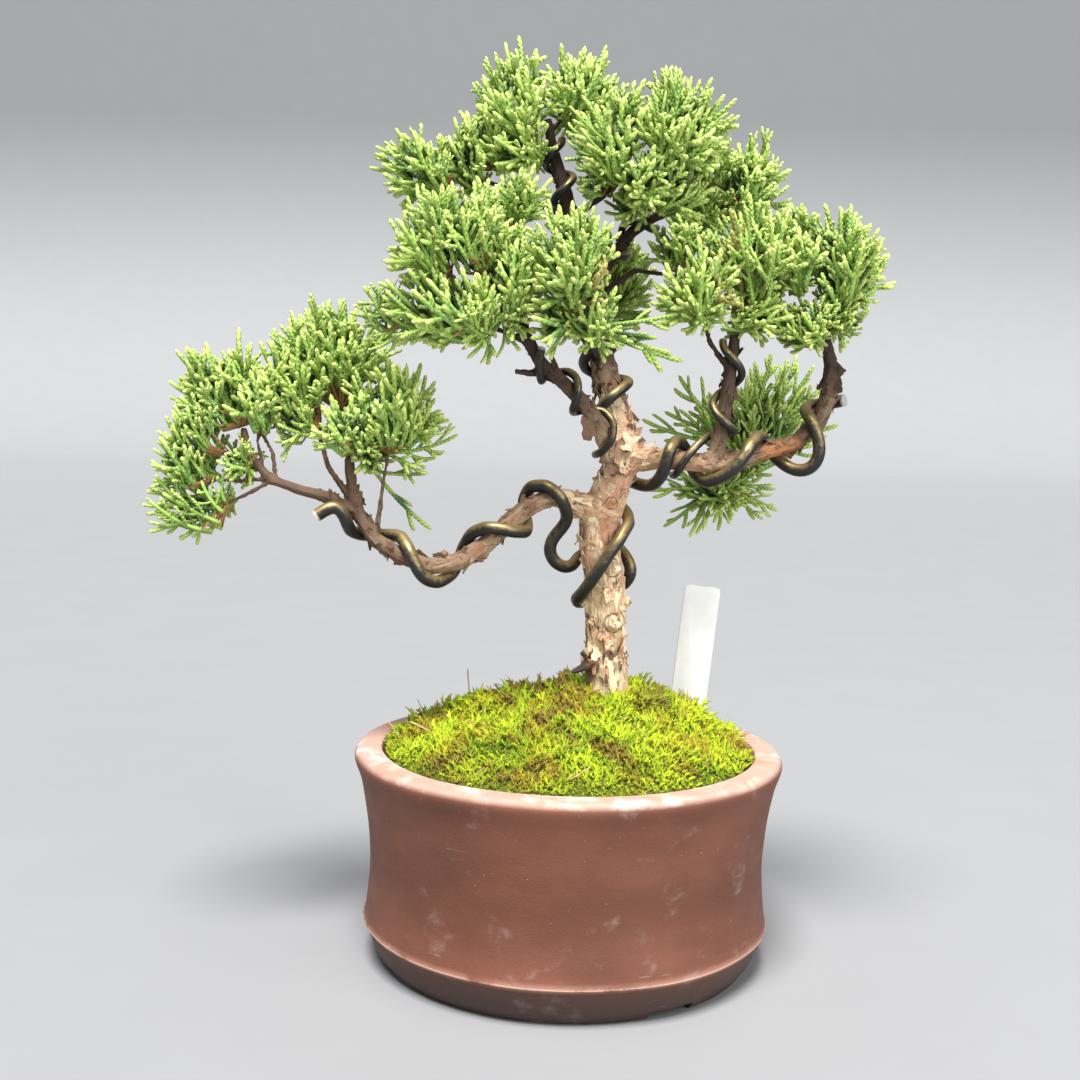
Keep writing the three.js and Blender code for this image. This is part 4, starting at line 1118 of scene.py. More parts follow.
@dataclass(frozen=True)
class Spray:
    """One spray: a leading shoot with side shoots that leave it by turns and fork again."""

    seed: int
    length: float = SPRAY_LENGTH
    radius: float = 0.74
    side_radius: float = 0.66
    first: float = 4.5
    pitch: float = 3.6
    last: float = 0.68
    longest: float = 14.0
    spread: float = 44.0
    twist: float = 0.8
    forks: tuple[float, ...] = (0.3, 0.55)
    fork_share: float = 0.46
    shortest_fork: float = 2.4
    fork_angles: Span = (34.0, 52.0)
    fork_sizes: Span = (0.8, 1.3)
    side_sizes: Span = (0.62, 0.98)
    leans: Span = (0.7, 1.25)
    pitches: Span = (0.75, 1.25)
    girths: Span = (0.9, 1.1)
    bends: Span = (0.003, 0.013)
    side_bends: Span = (0.01, 0.035)
    thickness: Span = (0.9, 1.1)

    def build(self) -> bpy.types.Object:
        """Models the spray along +Z from the origin.

        Returns:
            The spray.
        """
        draw = random.Random(self.seed)
        parts = [Shoot(self.length, self.radius, segment=2.8).build()]
        distance = self.first
        side = 0.0
        while distance < self.length * self.last:
            size = min(self.longest, (self.length - distance) * draw.uniform(*self.side_sizes))
            turn = side + draw.uniform(-self.twist, self.twist)
            lean = math.radians(self.spread * draw.uniform(*self.leans))
            way = Vector((
                math.cos(turn) * math.sin(lean), math.sin(turn) * math.sin(lean), math.cos(lean)
            ))
            root = Vector((0, 0, distance * MM))
            parts.append(self.side_shoot(root, way, UP, size, draw))
            parts.extend(self.fork(root, way, size, draw))
            side += math.pi
            distance += self.pitch * draw.uniform(*self.pitches)
        spray = join(parts, f"spray_{self.seed}")
        bow(spray, draw.uniform(*self.bends) * SPRAY_LENGTH / self.length)
        smooth(spray)
        return spray

    def fork(
        self, root: Vector, way: Vector, size: float, draw: random.Random
    ) -> Iterator[bpy.types.Object]:
        """Models the short shoots that leave a side shoot.

        Args:
            root: where the side shoot leaves.
            way: the direction it leaves in.
            size: its length in millimetres.
            draw: gives the random numbers.

        Yields:
            Each short shoot.
        """
        basis = facing(way, UP).to_3x3()
        turn = draw.choice((-1, 1))
        for share in self.forks:
            length = size * self.fork_share * draw.uniform(*self.fork_sizes)
            if length < self.shortest_fork:
                continue
            angle = math.radians(draw.uniform(*self.fork_angles))
            fork_way = basis @ (Matrix.Rotation(turn * angle, 3, "X") @ UP)
            yield self.side_shoot(root + way * (size * share * MM), fork_way, way, length, draw)
            turn = -turn

    def side_shoot(
        self, root: Vector, way: Vector, lean: Vector, size: float, draw: random.Random
    ) -> bpy.types.Object:
        """Models one side shoot and puts it in its place on the spray.

        Args:
            root: where it leaves.
            way: the direction it leaves in.
            lean: the direction it bends towards.
            size: its length in millimetres.
            draw: gives the random numbers.

        Returns:
            The side shoot.
        """
        radius = self.side_radius * draw.uniform(*self.girths)
        shoot = Shoot(size, radius, bend=draw.uniform(*self.side_bends)).build()
        shoot.matrix_world = Matrix.Translation(root) @ facing(way, lean)
        return shoot


# The first spray of each kind. The others of a kind differ from it by their seed.
SPRAYS = {
    SprayKind.LONG: Spray(SEED),
    SprayKind.SHORT: Spray(
        SEED + 50, length=15.0, first=2.2, pitch=3.0, longest=10.0, thickness=(0.85, 1.1)
    ),
    SprayKind.OPEN: Spray(SEED + 80, first=7.0, longest=9.0, last=0.8, forks=()),
    SprayKind.THREAD: Spray(SEED + 110, first=10.0, pitch=6.5, longest=8.0, last=0.75, forks=()),
}
STEM = Shoot(10.0, 0.45, segment=5.0, is_wood=True)


@dataclass
class Foliage:
    """All the pads: sprays spread evenly from each lobe's heart to its outline."""

    variants: int = 7
    spacing: float = 8.4
    open_spacing: float = 8.8
    inner_shell: float = 0.62
    inner_spacing: float = 9.5
    jitter: float = 0.22
    reaches: Span = (0.84, 1.14)
    inside: float = 0.8
    long_from: float = 21.0
    shortest: float = 5.0
    length_share: float = 0.97
    lengths: Span = (0.85, 1.15)
    side_share: float = 0.45
    rise_share: float = 0.8
    lift: float = 0.42
    sway: float = 0.12
    root_depth: float = 0.92
    lean: float = 0.7
    dry_share: float = 0.015
    dry_tone: float = 0.55
    shade_fade_from: float = 0.35
    shade_fade_span: float = 0.6
    clear: float = 0.9
    tested: tuple[float, ...] = (0.45, 0.7, 1.0)
    templates: dict[SprayKind, list[bpy.types.Object]] = field(default_factory=dict)

    def build(self, look: bpy.types.Material) -> None:
        """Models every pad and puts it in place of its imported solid.

        Args:
            look: the foliage's material.
        """
        for kind, spray in SPRAYS.items():
            self.templates[kind] = [
                replace(spray, seed=spray.seed + i).build() for i in range(self.variants)
            ]
        stem = STEM.build()
        obstacles = self.obstacles()
        for number, (name, lobes) in enumerate(PADS.items()):
            draw = random.Random(SEED + 100 + number)
            parts = []
            for lobe in lobes:
                for root, tip in self.spots(lobe, lobes, draw):
                    if self.blocked(root, tip, obstacles):
                        continue
                    parts.append(self.put_spray(root, tip, lobe.fill, draw))
                    parts.append(self.put_stem(stem, place(lobe.heart), root, draw))
            pad = join(parts, name.replace("foliage_", "sprays_"))
            self.shade(pad, lobes)
            settle(pad, Slot.FOLIAGE, look, name)
        for template in [stem, *(spray for kind in self.templates.values() for spray in kind)]:
            bpy.data.objects.remove(template)

    def obstacles(self) -> list[BVHTree]:
        """Finds the wood and the wires, which sprays keep off."""
        wires = [f"wire_{wire.name}" for wire in WIRES]
        return [tree_of(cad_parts[name]) for name in ("trunk_and_branches", *wires)]

    def blocked(self, root: Vector, tip: Vector, obstacles: list[BVHTree]) -> bool:
        """Tells whether a spray's outer part would run through wood or wire.

        Args:
            root: where the spray starts.
            tip: where it ends.
            obstacles: the wood and the wires.

        Returns:
            True where it would.
        """
        return any(
            tree.find_nearest(root.lerp(tip, share), self.clear * MM)[0] is not None
            for share in self.tested
            for tree in obstacles
        )

    def spots(
        self, lobe: Lobe, lobes: Sequence[Lobe], draw: random.Random
    ) -> Iterator[tuple[Vector, Vector]]:
        """Yields the root and the tip of each spray of a lobe.

        Args:
            lobe: the lobe.
            lobes: all the lobes of its pad, whose insides need no tips.
            draw: gives the random numbers.

        Yields:
            Each spray's root and tip, in the model's frame.
        """
        centre = place(lobe.centre)
        reach = Vector(lobe.reach) * MM
        mean = sum(lobe.reach) / 3
        shells = [(1.0, self.spacing), (self.inner_shell, self.inner_spacing)]
        if lobe.fill is Fill.OPEN:
            shells = [(1.0, self.open_spacing)]
        if lobe.fill is Fill.THREAD:
            shells = []
        for tip in lobe.tips:
            yield from self.spot(lobe, place(tip), draw, lifted=False)
        for shell, spacing in shells:
            count = round(4 * math.pi * (mean * shell / spacing) ** 2)
            for way in even_directions(count):
                aim = (way + stray(draw) * self.jitter).normalized()
                aim = aim * draw.uniform(*self.reaches) * shell
                tip = centre + Vector((aim.x * reach.x, aim.y * reach.y, aim.z * reach.z))
                if self.depth_of(tip, lobes, lobe) > self.inside:
                    yield from self.spot(lobe, tip, draw)

    def spot(
        self, lobe: Lobe, tip: Vector, draw: random.Random, lifted: bool = True
    ) -> Iterator[tuple[Vector, Vector]]:
        """Yields the root and the tip of one spray, which points outwards and up.

        Args:
            lobe: the lobe that it grows in.
            tip: its tip.
            draw: gives the random numbers.
            lifted: whether it rises more steeply than the line from the lobe's heart.

        Yields:
            The root and the tip, or nothing where there is no room for a spray.
        """
        away = tip - place(lobe.heart)
        way = away.normalized()
        grown = SPRAY_LENGTH * draw.uniform(*self.lengths) * MM
        longest = min(away.length * self.length_share, grown)
        if lifted:
            rise = way.z * self.rise_share + self.lift
            way = Vector((way.x, way.y * self.side_share, rise)).normalized()
            way += stray(draw, 2) * self.sway
        length = self.shortest * MM
        while length < longest:
            if lifted and self.depth_of(tip - way * length, (lobe,)) >= self.root_depth:
                break
            length += MM
        if length > (self.shortest + 1) * MM:
            yield tip - way * length, tip

    def depth_of(self, spot: Vector, lobes: Sequence[Lobe], own: Lobe | None = None) -> float:
        """Measures how far out a spot lies in the lobes: 0 at a centre and 1 on the outline.

        Args:
            spot: the spot, in the model's frame.
            lobes: the pad's lobes.
            own: a lobe that is left out.

        Returns:
            The smallest such measure.
        """
        depths = []
        for lobe in lobes:
            if lobe is own:
                continue
            offset = (spot - place(lobe.centre)) / MM
            parts = [distance / reach for distance, reach in zip(offset, lobe.reach)]
            depths.append(Vector(parts).length)
        return min(depths, default=math.inf)

    def shade(self, pad: bpy.types.Object, lobes: Sequence[Lobe]) -> None:
        """Marks how far out each point lies, for the painted shade that darkens the shoots inside a pad.

        Args:
            pad: the pad.
            lobes: its lobes.
        """
        mark(pad, "outer", [
            clamp((self.depth_of(vertex.co, lobes) - self.shade_fade_from) / self.shade_fade_span)
            for vertex in pad.data.vertices
        ])

    def put_spray(
        self, root: Vector, tip: Vector, fill: Fill, draw: random.Random
    ) -> bpy.types.Object:
        """Copies a spray to its place, bent upwards.

        Args:
            root: where it starts.
            tip: where it ends.
            fill: how full its lobe is.
            draw: gives the random numbers.

        Returns:
            The copy.
        """
        away = tip - root
        length = away.length / MM
        if fill is Fill.DENSE:
            kind = SprayKind.LONG if length > self.long_from else SprayKind.SHORT
        else:
            kind = SprayKind.OPEN if fill is Fill.OPEN else SprayKind.THREAD
        template = draw.choice(self.templates[kind])
        size = length / SPRAYS[kind].length
        lean = UP + stray(draw, 2) * self.lean
        thinnest, thickest = SPRAYS[kind].thickness
        thick = min(thickest, max(size, thinnest))
        shape = Matrix.Diagonal((thick, thick, size, 1.0))
        spray = copy_of(template, Matrix.Translation(root) @ facing(away, lean) @ shape)
        mark(spray, "tone", draw.random())
        if draw.random() < self.dry_share:
            mark(spray, "wood", self.dry_tone)
        return spray

    def put_stem(
        self, stem: bpy.types.Object, heart: Vector, root: Vector, draw: random.Random
    ) -> bpy.types.Object:
        """Copies the woody stem that joins a spray to its lobe's heart.

        Args:
            stem: the stem that is copied.
            heart: the lobe's heart.
            root: the spray's root.
            draw: gives the random numbers.

        Returns:
            The copy.
        """
        away = root - heart + (root - heart).normalized() * MM
        size = away.length / (STEM.length * MM)
        shape = Matrix.Diagonal((1.0, 1.0, size, 1.0))
        made = copy_of(stem, Matrix.Translation(heart) @ facing(away, UP) @ shape)
        mark(made, "tone", draw.random())
        return made


def slimness(radius: float, twig: float = 1.7, span: float = 2.6) -> float:
    """Tells how slim a limb is, from zero for the trunk to one for a twig."""
    return 1.0 - clamp((radius - twig) / span)


def crown_shade_and_char(height: float, foot: float = 164.0, span: float = 26.0) -> float:
    """Tells how far the bark is painted dark at a height, as painted shade on the wood inside the crown.
    """
    return clamp((height - foot) / span)


class LimbPoint(NamedTuple):
    """A point on a limb: its place, the limb's way, run and radius there, and the limb's number."""

    point: Vector
    way: Vector
    run: float
    radius: float
    owner: int


def limb_points(spacing: float = 1.0) -> Iterator[LimbPoint]:
    """Lists points along the trunk and every branch.

    Args:
        spacing: the distance between them in millimetres.

    Yields:
        Each point.
    """
    for owner, stations in enumerate((TRUNK, *BRANCHES)):
        run = 0.0
        for start, end in zip(stations, stations[1:]):
            step = Vector(end[:3]) - Vector(start[:3])
            count = max(1, round(step.length / spacing))
            for i in range(count):
                share = i / count
                point = place(start) + step * (share * MM)
                radius = start[3] + (end[3] - start[3]) * share
                yield LimbPoint(point, step.normalized(), run + step.length * share, radius, owner)
            run += step.length


@dataclass
class Wood:
    """The trunk and its branches, with furrows and plates of bark along each limb."""

    voxel: float = 0.5
    keep: float = 0.62
    along: float = 0.22
    relief: float = 0.85
    plate_lift: float = 1.2
    crack_depth: float = 0.6
    fibre_lift: float = 0.35
    fibre_rate: float = 1.7
    warp: float = 1.6
    plate_rate: float = 0.24
    twig_rate: float = 0.2
    crack_width: float = 0.12
    full_radius: float = 4.6
    twig_weight: float = 0.35
    knob_reach: float = 1.8
    knob_weight: float = 0.15
    knob_slimness: float = 0.8
    seam_reach: int = 9
    spot_core: float = 1.6
    spot_size: float = 6.0
    burnt_stub: Place = (2.2, 2.0, 92.0)
    peeled_spot: Place = (64.0, -3.0, 164.0)
    scar_reach: float = 1.5
    scar_height: float = 0.42
    dome_size: float = 0.75
    crease_width: float = 0.16
    crease_shade: float = 0.75
    pit_size: float = 0.26
    pit_tone: float = 0.7
    pit_depth: float = 0.35

    def build(self, look: bpy.types.Material) -> None:
        """Models the bark over a refined copy of the wood.

        Args:
            look: the bark's material.
        """
        piece = copy_of_node("trunk_and_branches", "wood")
        modify(piece, "REMESH", mode="VOXEL", voxel_size=self.voxel * MM)
        modify(piece, "SMOOTH", factor=0.5, iterations=4)
        self.carve(piece)
        self.scar_and_crease_shade(piece)
        modify(piece, "DECIMATE", ratio=self.keep)
        smooth(piece)
        settle(piece, Slot.BARK, look, "trunk_and_branches")

    def carve(self, piece: bpy.types.Object) -> None:
        """Splits the bark into plates along each limb and marks them for the material.

        Args:
            piece: the wood.
        """
        limbs = list(limb_points())
        index = index_of([limb.point for limb in limbs])
        marks: dict[str, list[float]] = {
            name: [] for name in ("furrow", "plate", "slim", "crown_shade_and_char", "peeled")
        }
        grain, lifts, owners = [], [], []
        normals = [vertex.normal.copy() for vertex in piece.data.vertices]
        for vertex in piece.data.vertices:
            limb = limbs[index.find(vertex.co)[1]]
            offset = (vertex.co - limb.point) / MM
            offset -= limb.way * offset.dot(limb.way)
            across = offset + limb.way * (limb.run * self.along)
            is_knob = offset.length > limb.radius + self.knob_reach
            weight = min(1.0, max(self.twig_weight, limb.radius / self.full_radius))
            if is_knob:
                weight = self.knob_weight
            crack, plate = self.plate_at(across, vertex.co / MM, weight)
            lift = self.plate_lift * (plate - 0.5) - self.crack_depth * crack
            lift += self.fibre_lift * noise.noise(across * self.fibre_rate)
            lifts.append(lift * self.relief * weight)
            owners.append(limb.owner)
            grain.extend(across)
            marks["furrow"].append(crack * weight)
            marks["plate"].append(plate)
            marks["slim"].append(self.knob_slimness if is_knob else slimness(limb.radius))
            burnt = self.nearness(vertex.co, self.burnt_stub)
            # The crown's painted shade and the burnt stub's char share one mark.
            marks["crown_shade_and_char"].append(max(crown_shade_and_char(vertex.co.z / MM), burnt))
            marks["peeled"].append(self.nearness(vertex.co, self.peeled_spot))
        for i, blend in enumerate(self.seams(piece, owners)):
            piece.data.vertices[i].co += normals[i] * (lifts[i] * (1 - blend) * MM)
            marks["furrow"][i] *= 1 - blend
        layer = piece.data.attributes.new("grain", "FLOAT_VECTOR", "POINT")
        layer.data.foreach_set("vector", grain)
        for name, values in marks.items():
            mark(piece, name, values)

    def plate_at(self, across: Vector, spot: Vector, weight: float) -> tuple[float, float]:
        """Reads the pattern of bark plates at a point.

        Args:
            across: the point seen from its limb, shortened along the limb, as plates are long.
            spot: the point in the model's frame, in millimetres.
            weight: how thick the bark is there, up to one.

        Returns:
            How deep the crack is there and how the plate is toned, each from zero to one.
        """
        bent = Vector((noise.noise(across * 0.5), noise.noise(across * 0.5 + UP * 9), 0)) * self.warp
        rate = self.plate_rate + self.twig_rate * (1 - weight)
        distances, centres = noise.voronoi((across + bent) * rate)
        crack = 1 - min(1.0, (distances[1] - distances[0]) / self.crack_width)
        crack *= clamp(0.55 + 1.6 * noise.noise(spot * 0.11))
        return crack, clamp(0.5 + 0.8 * noise.noise(centres[0] * 5.7))

    def nearness(self, point: Vector, spot: Place) -> float:
        """Tells how near a point is to a spot: one around it, and zero beyond its reach."""
        return clamp(self.spot_core - (point - place(spot)).length / (self.spot_size * MM))

    def seams(self, piece: bpy.types.Object, owners: Sequence[int]) -> list[float]:
        """Measures how near each vertex is to where two limbs meet, as the bark is smooth there.

        Args:
            piece: the wood.
            owners: the limb that each vertex belongs to.

        Returns:
            One at a seam and less with each edge away from it, down to zero.
        """
        edges = [tuple(edge.vertices) for edge in piece.data.edges]
        blends = [0.0] * len(owners)
        for first, second in edges:
            if owners[first] != owners[second]:
                blends[first] = blends[second] = 1.0
        for _ in range(self.seam_reach):
            spread = list(blends)
            for first, second in edges:
                nearest = max(blends[first], blends[second]) - 1 / self.seam_reach
                spread[first] = max(spread[first], nearest)
                spread[second] = max(spread[second], nearest)
            blends = spread
        return blends

    def scar_and_crease_shade(self, piece: bpy.types.Object) -> None:
        """Raises knobs and healed scars on the bark's front, each a dome in a crease painted dark as
        shade, with a pit at its middle painted dark, partly the scar's own colour and partly painted
        shade.

        Args:
            piece: the wood.
        """
        scars = [0.0] * len(piece.data.vertices)
        surface = tree_of(piece)
        for x, z, radius in SCARS:
            spot = surface.ray_cast(place((x, -60, z)), Vector((0, 1, 0)))[0]
            if spot is None:
                continue
            for vertex in piece.data.vertices:
                reach = (vertex.co - spot).length / MM / radius
                if reach < self.scar_reach:
                    dome = math.exp(-((reach / self.dome_size) ** 4))
                    crease = math.exp(-((reach - 1.0) / self.crease_width) ** 2)
                    pit = self.pit_tone * math.exp(-((reach / self.pit_size) ** 2))
                    height = (dome - self.pit_depth * pit) * radius * self.scar_height
                    vertex.co += FRONT * (height * MM)
                    # The crease is painted dark as shade; the pit is partly the scar's own colour and
                    # partly painted shade.
                    scars[vertex.index] = max(scars[vertex.index], pit, self.crease_shade * crease)
        mark(piece, "scar_and_crease_shade", scars)


@dataclass
class BarkFlakes:
    """Loose flakes of bark that stand off the trunk and the thicker branches."""

    count: int = 950
    shapes: int = 8
    thickness: float = 0.22
    lowest: float = 91.0
    thinnest: float = 1.9
    outside: float = 6.0
    knob_room: float = 3.0
    wire_room: float = 2.4
    lengths: Span = (3.0, 5.2)
    widths: Span = (1.5, 3.2)
    curls: Span = (0.1, 0.9)
    sizes: Span = (0.6, 1.25)
    tones: Span = (0.1, 1.0)
    skew: float = 0.7
    tilt: float = 0.28
    ragged_end: float = 0.35
    ragged_side: float = 0.25
    hanging: Place = (4.2, -12.0, 172.0)
    hanging_face: Place = (0.3, -1.0, 0.1)
    hanging_way: Place = (-0.2, 0.0, -1.0)
    hanging_size: float = 1.55
    hanging_slimness: float = 0.6

    def build(self, look: bpy.types.Material) -> None:
        """Scatters the flakes over the wood, clear of the wires.

        Args:
            look: the bark's material.
        """
        draw = random.Random(SEED + 11)
        shapes = [self.flake(draw) for _ in range(self.shapes)]
        wood = tree_of(bpy.data.objects["wood"])
        wires = [tree_of(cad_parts[f"wire_{wire.name}"]) for wire in WIRES]
        limbs = [
            limb for limb in limb_points()
            if limb.radius > self.thinnest and limb.point.z > self.lowest * MM
        ]
        flakes = []
        for _ in range(self.count):
            limb = draw.choice(limbs)
            outward = limb.way.cross(stray(draw)).normalized()
            start = limb.point + outward * ((limb.radius + self.outside) * MM)
            spot, normal, _, _ = wood.ray_cast(start, -outward)
            if spot is None or (spot - limb.point).length > (limb.radius + self.knob_room) * MM:
                continue
            if any(wire.find_nearest(spot, self.wire_room * MM)[0] for wire in wires):
                continue
            size = min(1.0, 0.42 + limb.radius / 9) * draw.uniform(*self.sizes)
            along = limb.way * draw.choice((-1, 1))
            along += normal.cross(limb.way) * draw.uniform(-self.skew, self.skew)
            turn = facing(normal, along) @ Matrix.Rotation(-draw.uniform(0.0, self.tilt), 4, "Y")
            flake = copy_of(draw.choice(shapes), Matrix.Translation(spot) @ turn @ Matrix.Scale(size, 4))
            mark(flake, "plate", draw.uniform(*self.tones))
            mark(flake, "slim", slimness(limb.radius))
            # Painted shade inside the crown, as on the wood.
            mark(flake, "crown_shade_and_char", crown_shade_and_char(spot.z / MM))
            flakes.append(flake)
        spot = wood.find_nearest(place(self.hanging))[0]
        turn = facing(Vector(self.hanging_face), Vector(self.hanging_way))
        shape = turn @ Matrix.Scale(self.hanging_size, 4)
        flakes.append(copy_of(shapes[0], Matrix.Translation(spot) @ shape))
        mark(flakes[-1], "slim", self.hanging_slimness)
        for shape in shapes:
            bpy.data.objects.remove(shape)
        piece = join(flakes, "bark_flakes")
        smooth(piece, 50)
        settle(piece, Slot.BARK, look, "trunk_and_branches")

    def flake(self, draw: random.Random) -> bpy.types.Object:
        """Models one curled flake with a ragged outline, along +X from its fixed end.

        Args:
            draw: gives the random numbers.

        Returns:
            The flake.
        """
        length, width = draw.uniform(*self.lengths), draw.uniform(*self.widths)
        curl = draw.uniform(*self.curls)
        deselect()
        bpy.ops.mesh.primitive_grid_add(x_subdivisions=5, y_subdivisions=3, size=1)
        flake = bpy.context.active_object
        edit(flake)
        bpy.ops.transform.translate(value=(0.5, 0, 0))
        bpy.ops.transform.resize(value=(length * MM, width * MM, 1), center_override=(0, 0, 0))
        bpy.ops.object.mode_set(mode="OBJECT")
        for vertex in flake.data.vertices:
            share = vertex.co.x / (length * MM)
            vertex.co.y *= 1 - 0.5 * share ** 2
            vertex.co.x += draw.uniform(-self.ragged_end, self.ragged_end) * MM
            vertex.co.y += draw.uniform(-self.ragged_side, self.ragged_side) * MM
            vertex.co.z = (curl * share ** 2 - 0.35 * (1 - share)) * MM
        modify(flake, "SOLIDIFY", thickness=self.thickness * MM)
        layer = flake.data.attributes.new("grain", "FLOAT_VECTOR", "POINT")
        offset = Vector([draw.uniform(0, 90) for _ in range(3)])
        for vertex, grain in zip(flake.data.vertices, layer.data):
            grain.vector = vertex.co / MM + offset
        return flake


class Limb:
    """A limb's centre line, for wires that are wound round it."""

    def __init__(self, stations: Sequence[Station]) -> None:
        """Keeps the limb's stations and the distance of each along it.

        Args:
            stations: the limb's stations.
        """
        self.stations = stations
        self.runs = [0.0]
        for start, end in zip(stations, stations[1:]):
            self.runs.append(self.runs[-1] + (Vector(end[:3]) - Vector(start[:3])).length)

    def at(self, run: float) -> tuple[Vector, Vector, float]:
        """Finds the point at a distance along the limb.

        Args:
            run: the distance in millimetres.

        Returns:
            The point, the way the limb runs there, and its radius.
        """
        run = min(max(run, 0.0), self.runs[-1] - 0.01)
        i = max(j for j, start in enumerate(self.runs[:-1]) if start <= run)
        start, end = self.stations[i], self.stations[i + 1]
        share = (run - self.runs[i]) / (self.runs[i + 1] - self.runs[i])
        low, high = Vector(start[:3]), Vector(end[:3])
        return low.lerp(high, share), (high - low).normalized(), start[3] + (end[3] - start[3]) * share


@dataclass
class TrainingWires:
    """Aluminium wires wound round the trunk and the branches."""

    gap: float = 0.45
    bark_room: float = 0.3
    points_per_turn: int = 8
    points_per_stretch: int = 8
    step: float = 1.6
    passes: int = 14
    ease: float = 0.5
    cut_reach: float = 1.02

    def build(self, look: bpy.types.Material) -> None:
        """Models every wire as a round cord along its route, clear of the wood.

        Args:
            look: the wires' material.
        """
        wood = tree_of(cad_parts["trunk_and_branches"])
        laid: list[tuple[KDTree, float]] = []
        for wire in WIRES:
            route = self.clear(self.spaced(self.points(wire)), wire.radius, wood, laid)
            laid.append((index_of(route), wire.radius))
            settle(self.cord(wire, route), Slot.WIRE, look, f"wire_{wire.name}")

    def points(self, wire: Wire) -> list[Vector]:
        """Lists a wire's points: its lead, its turns round the limb and its tail.

        Args:
            wire: the wire.

        Returns:
            The points, in millimetres on the tree.
        """
        turns = []
        if wire.limb:
            limb = Limb(wire.limb)
            last = len(wire.crossings) - 1
            count = round((wire.before + last + wire.after) * self.points_per_turn)
            for i in range(count + 1):
                turn = -wire.before + i / self.points_per_turn
                index = min(max(math.floor(turn), 0), last - 1)
                pitch = wire.crossings[index + 1] - wire.crossings[index]
                centre, along, radius = limb.at(wire.crossings[index] + pitch * (turn - index))
                front = (FRONT + along * along.y).normalized()
                side = along.cross(front)
                angle = math.tau * turn * wire.hand
                reach = radius + wire.radius + wire.slack + self.bark_room
                turns.append(centre + (front * math.cos(angle) + side * math.sin(angle)) * reach)
        return [*map(Vector, wire.lead), *turns, *map(Vector, wire.tail)]

    def spaced(self, points: Sequence[Vector]) -> list[Vector]:
        """Joins points by a smooth line and spaces it evenly, in the model's frame.

        Args:
            points: the points, in millimetres on the tree.

        Returns:
            The points of the even line.
        """
        fine = []
        padded = [points[0] * 2 - points[1], *points, points[-1] * 2 - points[-2]]
        for i in range(1, len(padded) - 2):
            before, start, end, after = padded[i - 1:i + 3]
            for k in range(self.points_per_stretch):
                t = k / self.points_per_stretch
                fine.append(0.5 * (
                    2 * start + (end - before) * t
                    + (2 * before - 5 * start + 4 * end - after) * t**2
                    + (3 * start - before - 3 * end + after) * t**3
                ))
        fine.append(points[-1])
        route = [place(fine[0])]
        for point in fine:
            spot = place(point)
            if (spot - route[-1]).length > self.step * MM:
                route.append(spot)
        return route

    def clear(
        self, route: list[Vector], radius: float, wood: BVHTree, laid: list[tuple[KDTree, float]]
    ) -> list[Vector]:
        """Eases a route away from the wood and from the wires already laid.

        Args:
            route: the route's points.
            radius: the wire's radius in millimetres.
            wood: the wood's surface.
            laid: the other wires' routes and radii.

        Returns:
            The eased route.
        """
        for turn in range(self.passes):
            for point in route:
                near, normal, _, _ = wood.find_nearest(point)
                away = point - near
                inside = away.dot(normal) < 0
                wanted = (radius + self.gap) * MM
                if inside:
                    point += normal * (away.length + wanted)
                elif away.length < wanted:
                    point += away.normalized() * (wanted - away.length)
                for tree, other in laid:
                    spot, _, distance = tree.find(point)
                    wanted = (radius + other + self.gap) * MM
                    if distance < wanted:
                        point += (point - spot).normalized() * (wanted - distance)
            if turn < self.passes - 1:
                for before, point, after in zip(route, route[1:], route[2:]):
                    point += ((before + after) / 2 - point) * self.ease
        return route

    def cord(self, wire: Wire, route: Sequence[Vector]) -> bpy.types.Object:
        """Models a round cord along a route, with closed ends.

        Args:
            wire: the wire.
            route: its route.

        Returns:
            The cord.
        """
        data = bpy.data.curves.new(f"wound_wire_{wire.name}", "CURVE")
        data.dimensions = "3D"
        data.bevel_depth = wire.radius * MM
        data.bevel_resolution = 4
        data.resolution_u = 2
        data.use_fill_caps = True
        line = data.splines.new("NURBS")
        line.points.add(len(route) - 1)
        for point, spot in zip(line.points, route):
            point.co = (*spot, 1.0)
        line.use_endpoint_u = True
        line.order_u = 4
        activate(put(data.name, data))
        bpy.ops.object.convert(target="MESH")
        piece = bpy.context.active_object
        edit(piece)
        bpy.ops.mesh.remove_doubles(threshold=1e-6)
        bpy.ops.mesh.normals_make_consistent(inside=False)
        bpy.ops.object.mode_set(mode="OBJECT")
        reach = self.cut_reach * wire.radius * MM
        mark(piece, "cut", [
            1.0 if any((vertex.co - end).length < reach for end in (route[0], route[-1])) else 0.0
            for vertex in piece.data.vertices
        ])
        smooth(piece, 50)
        return piece


